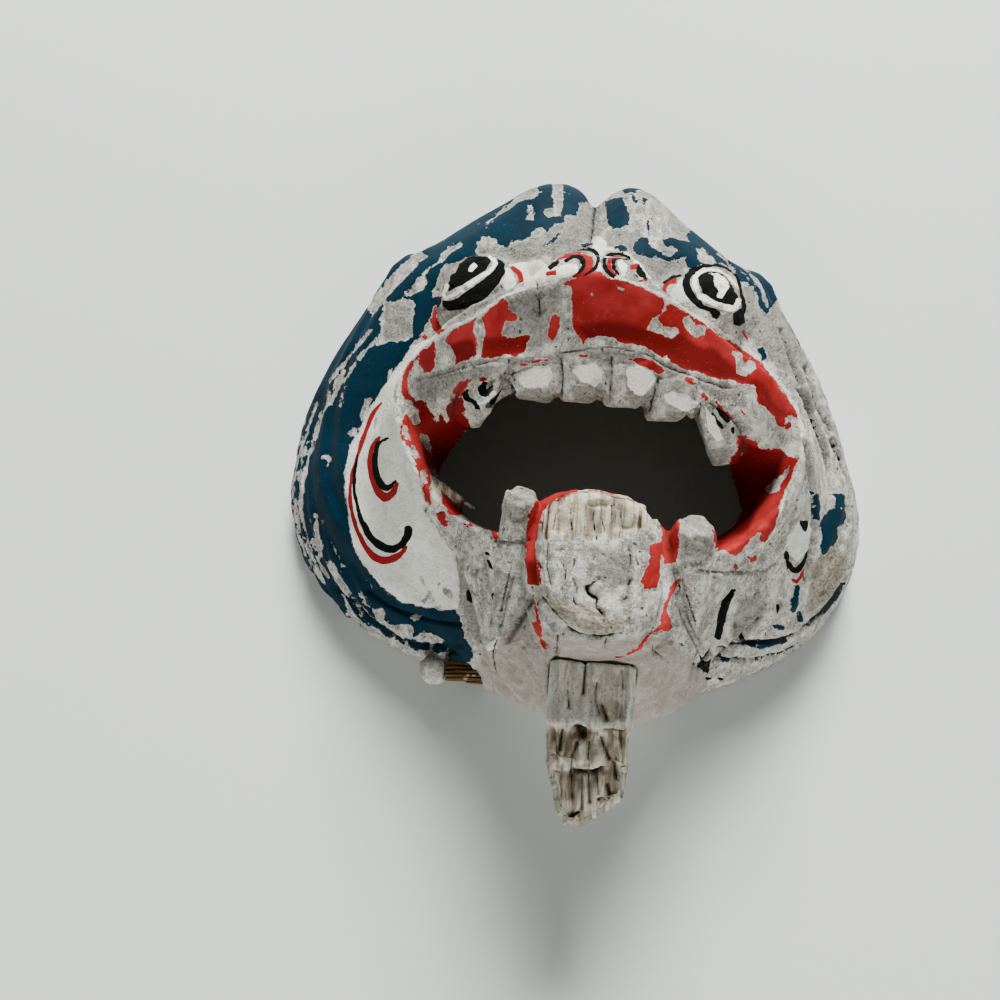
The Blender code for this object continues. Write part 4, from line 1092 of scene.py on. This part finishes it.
class Finish:
    """A material built up from small steps."""

    def __init__(self, name):
        self.material = bpy.data.materials.new(name)
        self.material.use_nodes = True
        self.tree = self.material.node_tree
        self.shader = self.tree.nodes["Principled BSDF"]
        self.shader.inputs["Specular IOR Level"].default_value = 0.04
        self.place = self.tree.nodes.new("ShaderNodeTexCoord").outputs["Object"]

    def link(self, value, socket):
        if hasattr(value, "is_linked"):
            self.tree.links.new(value, socket)
        elif isinstance(value, tuple):
            socket.default_value = (*value, 1.0)
        else:
            socket.default_value = value

    def attribute(self, name):
        node = self.tree.nodes.new("ShaderNodeAttribute")
        node.attribute_name = name
        return node.outputs["Fac"]

    def math(self, operation, first, second=0.0, third=0.0):
        node = self.tree.nodes.new("ShaderNodeMath")
        node.operation = operation
        for value, socket in zip((first, second, third), node.inputs):
            self.link(value, socket)
        return node.outputs[0]

    def noise(self, scale, detail=3.0, roughness=0.6, stretch=None, seed=0.0):
        mapping = self.tree.nodes.new("ShaderNodeMapping")
        mapping.inputs["Location"].default_value = (seed, seed * 0.7, seed * 1.3)
        if stretch:
            mapping.inputs["Scale"].default_value = stretch
        self.tree.links.new(self.place, mapping.inputs["Vector"])
        node = self.tree.nodes.new("ShaderNodeTexNoise")
        self.tree.links.new(mapping.outputs[0], node.inputs["Vector"])
        node.inputs["Scale"].default_value = scale
        node.inputs["Detail"].default_value = detail
        node.inputs["Roughness"].default_value = roughness
        return node.outputs["Fac"]

    def ramp(self, value, low, high, to_low=0.0, to_high=1.0):
        node = self.tree.nodes.new("ShaderNodeMapRange")
        node.interpolation_type = "SMOOTHSTEP"
        for item, socket in zip((value, low, high, to_low, to_high), node.inputs):
            self.link(item, socket)
        return node.outputs[0]

    def mix(self, share, first, second):
        node = self.tree.nodes.new("ShaderNodeMix")
        node.data_type = "RGBA"
        self.link(share, node.inputs["Factor"])
        self.link(first, node.inputs[MIX_FIRST])
        self.link(second, node.inputs[MIX_SECOND])
        return node.outputs[MIX_RESULT]

    def finish(self, colour, roughness, height, distance):
        self.link(colour, self.shader.inputs["Base Color"])
        self.link(roughness, self.shader.inputs["Roughness"])
        bump = self.tree.nodes.new("ShaderNodeBump")
        bump.inputs["Strength"].default_value = 1.0
        bump.inputs["Distance"].default_value = distance
        self.link(height, bump.inputs["Height"])
        self.tree.links.new(bump.outputs[0], self.shader.inputs["Normal"])
        return self.material


def painted_wood():
    f = Finish("painted_wood")
    broad = f.noise(90.0, 3.0, 0.6)
    middle = f.noise(420.0, 5.0, 0.7, seed=2.0)
    fine = f.noise(1500.0, 3.0, 0.7, seed=5.0)
    grains = f.noise(2400.0, 2.0, 0.6, seed=9.0)
    edge = f.math("MULTIPLY", f.math("SUBTRACT", f.noise(650.0, 6.0, 0.75, seed=8.0), 0.5), 2.6)

    def paint(name, grow=0.0, soft=0.05, ragged=1.0):
        value = f.math("MULTIPLY_ADD", edge, ragged, f.attribute(name))
        return f.ramp(value, -soft - grow, soft - grow)

    # weathered ground under the paint
    patches = f.noise(260.0, 5.0, 0.7, seed=13.0)
    streaks = f.noise(500.0, 4.0, 0.7, stretch=(1.0, 0.30, 0.45), seed=17.0)
    colour = f.mix(f.ramp(broad, 0.38, 0.62), (0.30, 0.293, 0.255), (0.40, 0.39, 0.345))
    colour = f.mix(f.ramp(middle, 0.50, 0.58, 0.0, 0.85), colour, (0.57, 0.56, 0.50))
    colour = f.mix(f.ramp(patches, 0.50, 0.60, 0.0, 0.60), colour, (0.165, 0.155, 0.13))
    colour = f.mix(f.ramp(streaks, 0.53, 0.62, 0.0, 0.60), colour, (0.16, 0.15, 0.125))
    colour = f.mix(f.ramp(streaks, 0.46, 0.40, 0.0, 0.50), colour, (0.72, 0.71, 0.65))
    colour = f.mix(f.ramp(fine, 0.58, 0.68, 0.0, 0.6), colour, (0.10, 0.092, 0.075))
    colour = f.mix(f.ramp(grains, 0.57, 0.66, 0.0, 0.7), colour, (0.74, 0.73, 0.67))
    # dirt and painted shade: the ground darkened to a duller grey
    grime_and_shade = f.ramp(f.math("MULTIPLY_ADD", edge, 1.0, f.attribute("grime_and_shade")), -0.7, 0.7, 0.0, 0.74)
    dull = f.mix(f.ramp(fine, 0.42, 0.60), (0.23, 0.225, 0.20), (0.11, 0.105, 0.09))
    colour = f.mix(grime_and_shade, colour, dull)
    brown = f.mix(f.ramp(fine, 0.42, 0.60), (0.33, 0.28, 0.20), (0.10, 0.075, 0.045))
    colour = f.mix(f.ramp(f.attribute("stain"), -0.6, 0.8, 0.0, 0.65), colour, brown)
    pits = f.ramp(f.noise(800.0, 2.0, 0.5, seed=11.0), 0.67, 0.72)
    colour = f.mix(f.math("MULTIPLY", pits, 0.9), colour, (0.03, 0.028, 0.022))
    pink = f.mix(f.ramp(middle, 0.4, 0.65), (0.30, 0.255, 0.222), (0.38, 0.335, 0.30))
    pink = f.mix(f.ramp(fine, 0.56, 0.68, 0.0, 0.5), pink, (0.16, 0.13, 0.11))
    colour = f.mix(f.ramp(f.attribute("pink"), -0.8, 1.2, 0.0, 0.85), colour, pink)
    # cream
    cream = f.mix(f.ramp(broad, 0.35, 0.65), (0.66, 0.65, 0.59), (0.80, 0.79, 0.73))
    cream = f.mix(f.ramp(patches, 0.50, 0.64, 0.0, 0.55), cream, (0.49, 0.48, 0.43))
    cream = f.mix(f.ramp(fine, 0.57, 0.70, 0.0, 0.55), cream, (0.30, 0.29, 0.25))
    colour = f.mix(paint("white", ragged=0.9), colour, cream)
    # blue and red, each with a thin pale edge of ground left round it
    blue_here = paint("blue")
    red_here = paint("red")
    colour = f.mix(paint("blue", grow=0.16), colour, (0.50, 0.49, 0.45))
    deep_blue = f.mix(f.ramp(broad, 0.35, 0.65), (0.0015, 0.015, 0.027), (0.002, 0.020, 0.036))
    deep_blue = f.mix(f.ramp(middle, 0.50, 0.70, 0.0, 0.4), deep_blue, (0.004, 0.026, 0.042))
    deep_blue = f.mix(f.ramp(grains, 0.66, 0.74, 0.0, 0.4), deep_blue, (0.12, 0.14, 0.145))
    deep_blue = f.mix(f.ramp(streaks, 0.66, 0.74, 0.0, 0.4), deep_blue, (0.04, 0.065, 0.075))
    colour = f.mix(blue_here, colour, deep_blue)
    colour = f.mix(paint("red", grow=0.20), colour, (0.55, 0.42, 0.38))
    strong_red = f.mix(f.ramp(broad, 0.35, 0.65), (0.24, 0.011, 0.011), (0.38, 0.028, 0.027))
    strong_red = f.mix(f.ramp(middle, 0.52, 0.72, 0.0, 0.5), strong_red, (0.44, 0.046, 0.042))
    # painted shade: the red darkened towards the ledge and inside the mouth
    red_shade_share = f.ramp(f.attribute("red_shade"), -1.0, 1.2, 0.0, 0.85)
    strong_red = f.mix(red_shade_share, strong_red, (0.105, 0.003, 0.003))
    strong_red = f.mix(f.ramp(grains, 0.67, 0.75, 0.0, 0.45), strong_red, (0.45, 0.16, 0.13))
    colour = f.mix(red_here, colour, strong_red)
    # bare wood
    grain = f.noise(900.0, 3.0, 0.6, stretch=(1.0, 0.10, 0.10), seed=3.0)
    wood = f.mix(f.ramp(grain, 0.42, 0.58), (0.62, 0.57, 0.45), (0.34, 0.29, 0.20))
    wood = f.mix(f.ramp(grain, 0.58, 0.68), wood, (0.07, 0.05, 0.03))
    wood = f.mix(f.ramp(broad, 0.5, 0.7, 0.0, 0.5), wood, (0.42, 0.41, 0.37))
    colour = f.mix(paint("bare", ragged=0.7), colour, wood)
    # painted lines
    colour = f.mix(paint("red_line", ragged=0.18), colour, (0.26, 0.012, 0.014))
    colour = f.mix(paint("black", ragged=0.25), colour, (0.004, 0.005, 0.004))
    # white lines, and a painted highlight on the teeth's upper facets
    bright = f.mix(f.ramp(fine, 0.54, 0.66, 0.0, 0.55), (0.93, 0.88, 0.79), (0.50, 0.47, 0.41))
    colour = f.mix(paint("white_line_and_tooth_highlight", ragged=0.35), colour, bright)
    # raw hollow
    raw = f.mix(f.ramp(f.noise(500.0, 3.0, 0.6, stretch=(1.0, 0.12, 0.3)), 0.4, 0.65),
                (0.48, 0.34, 0.21), (0.33, 0.225, 0.135))
    inner = f.ramp(f.attribute("inner"), 0.35, 0.65)
    colour = f.mix(inner, colour, raw)
    # painted shade in the hollows of the carving and along the cheek's grooves, a painted highlight
    # on the crests, and dark cracks
    hollow_shade = f.ramp(f.attribute("bent"), 0.015, 0.10, 0.0, 0.65)
    hollow_shade = f.math("MULTIPLY", hollow_shade, f.math("SUBTRACT", 1.0, blue_here))
    colour = f.mix(f.math("MULTIPLY", hollow_shade, f.ramp(fine, 0.3, 0.6)), colour, (0.04, 0.036, 0.028))
    # painted highlight: the bare ground made paler on the crests of the carving
    high = f.ramp(f.attribute("bent"), -0.02, -0.12, 0.0, 0.35)
    coat = f.math("MAXIMUM", blue_here, red_here)
    bare_ground = f.math("SUBTRACT", 1.0, f.math("MAXIMUM", coat, inner))
    colour = f.mix(f.math("MULTIPLY", high, bare_ground), colour, (0.62, 0.61, 0.57))
    colour = f.mix(paint("crack_and_groove_shade", soft=0.18, ragged=0.35), colour, (0.018, 0.015, 0.011))

    height = f.math("MULTIPLY_ADD", fine, 0.5, f.math("MULTIPLY", middle, 0.7))
    thickness = f.math("MULTIPLY", coat, 0.80)
    height = f.math("MULTIPLY_ADD", f.math("SUBTRACT", 1.0, coat), height, thickness)
    torn = f.ramp(f.attribute("bare"), -0.1, 0.2, 0.0, -0.8)
    height = f.math("MULTIPLY_ADD", grain, torn, height)
    rough = f.math("MULTIPLY_ADD", coat, -0.20, 0.85)
    return f.finish(colour, rough, height, 0.0007)


def weathered_wood():
    f = Finish("weathered_wood")
    grain = f.noise(800.0, 4.0, 0.65, stretch=(1.0, 0.08, 0.6))
    broad = f.noise(120.0, 3.0, 0.6, seed=4.0)
    middle = f.noise(450.0, 4.0, 0.7, stretch=(1.0, 0.4, 1.0), seed=6.0)
    fine = f.noise(1500.0, 3.0, 0.7, seed=5.0)
    colour = f.mix(f.ramp(grain, 0.42, 0.58), (0.74, 0.69, 0.57), (0.38, 0.335, 0.25))
    colour = f.mix(f.ramp(middle, 0.48, 0.62, 0.0, 0.5), colour, (0.26, 0.22, 0.15))
    smooth_top = f.mix(f.ramp(middle, 0.42, 0.60), (0.50, 0.49, 0.43), (0.80, 0.79, 0.72))
    smooth_top = f.mix(f.ramp(grain, 0.54, 0.66, 0.0, 0.6), smooth_top, (0.27, 0.245, 0.19))
    smooth_top = f.mix(f.ramp(fine, 0.56, 0.68, 0.0, 0.5), smooth_top, (0.20, 0.18, 0.14))
    colour = f.mix(f.ramp(f.attribute("worn"), 0.0, 0.8, 0.85, 0.0), colour, smooth_top)
    colour = f.mix(f.ramp(fine, 0.58, 0.70, 0.0, 0.4), colour, (0.09, 0.07, 0.045))
    brown = f.mix(f.ramp(grain, 0.42, 0.60), (0.40, 0.34, 0.24), (0.15, 0.115, 0.07))
    colour = f.mix(f.ramp(f.attribute("stain"), -0.6, 0.8, 0.0, 0.75), colour, brown)
    # painted shade: darker where the wood is cut deep, in the splits and steps
    colour = f.mix(f.ramp(f.attribute("depth_shade"), 0.7, 2.2, 0.0, 0.75), colour, (0.09, 0.07, 0.046))
    joint = f.ramp(f.attribute("crack_and_groove_shade"), -0.20, 0.25, 0.0, 0.85)
    colour = f.mix(joint, colour, (0.02, 0.015, 0.010))
    height = f.math("MULTIPLY_ADD", fine, 0.4, grain)
    return f.finish(colour, 0.88, height, 0.0007)


def bamboo():
    f = Finish("bamboo")
    grain = f.noise(900.0, 3.0, 0.6, stretch=(0.06, 1.0, 1.0))
    dots = f.noise(600.0, 1.0, 0.5, seed=7.0)
    colour = f.mix(f.ramp(grain, 0.40, 0.62), (0.13, 0.075, 0.025), (0.06, 0.030, 0.010))
    colour = f.mix(f.ramp(dots, 0.64, 0.70, 0.0, 0.8), colour, (0.42, 0.34, 0.20))
    side = f.mix(f.ramp(grain, 0.40, 0.62), (0.27, 0.21, 0.085), (0.17, 0.125, 0.04))
    colour = f.mix(f.ramp(f.attribute("under"), 0.0, 0.6, 1.0, 0.0), colour, side)
    # painted shade in the grooves
    colour = f.mix(f.ramp(f.attribute("depth_shade"), 0.08, 0.25, 0.0, 0.9), colour, (0.012, 0.007, 0.003))
    return f.finish(colour, 0.5, grain, 0.0002)


for piece, material, node, slot in ((mask, painted_wood(), "mask", "painted_wood"),
                                    (peg, weathered_wood(), "chin_peg", "weathered_wood"),
                                    (pin, bamboo(), "side_pin", "bamboo")):
    piece.data.materials.append(material)
    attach(piece, "root")
    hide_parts(node)

# Floor, light and camera
bpy.ops.mesh.primitive_plane_add(size=FLOOR_SIZE, location=(0.0, 0.0, -FLOOR_DROP))
floor = bpy.context.object
floor.name = "floor"
floor_finish = Finish("floor_finish")
floor_finish.shader.inputs["Base Color"].default_value = (0.62, 0.66, 0.63, 1.0)
floor_finish.shader.inputs["Roughness"].default_value = 0.9
floor.data.materials.append(floor_finish.material)


def soft_light(name, place, aim, size, power, colour):
    lamp = bpy.data.lights.new(name, "AREA")
    lamp.shape = "SQUARE"
    lamp.size = size
    lamp.energy = power
    lamp.color = colour
    holder = bpy.data.objects.new(name, lamp)
    holder.location = place
    holder.rotation_euler = (Vector(aim) - Vector(place)).to_track_quat("-Z", "Y").to_euler()
    bpy.context.scene.collection.objects.link(holder)


soft_light("key_light", (0.10, 1.24, 1.16), (0.0, 0.0, 0.03), 0.60, 85.0, (1.0, 0.995, 0.98))
soft_light("low_light", (0.15, -1.15, 0.30), (0.0, 0.0, 0.03), 0.7, 12.0, (1.0, 0.99, 0.97))
world = bpy.data.worlds.new("room")
world.use_nodes = True
world.node_tree.nodes["Background"].inputs["Color"].default_value = (0.80, 0.83, 0.82, 1.0)
world.node_tree.nodes["Background"].inputs["Strength"].default_value = 0.27
bpy.context.scene.world = world

camera_data = bpy.data.cameras.new("camera")
camera_data.sensor_width = 36.0
camera_data.lens = camera_data.sensor_width * FOCAL / PICTURE
camera_data.clip_start = 0.01
camera = bpy.data.objects.new("camera", camera_data)
matrix = Matrix.Identity(4)
for column, axis in enumerate((right_axis, up_axis, -forward_axis, CAMERA_PLACE)):
    for row in range(3):
        matrix[row][column] = axis[row]
camera.matrix_world = matrix
bpy.context.scene.collection.objects.link(camera)
bpy.context.scene.camera = camera
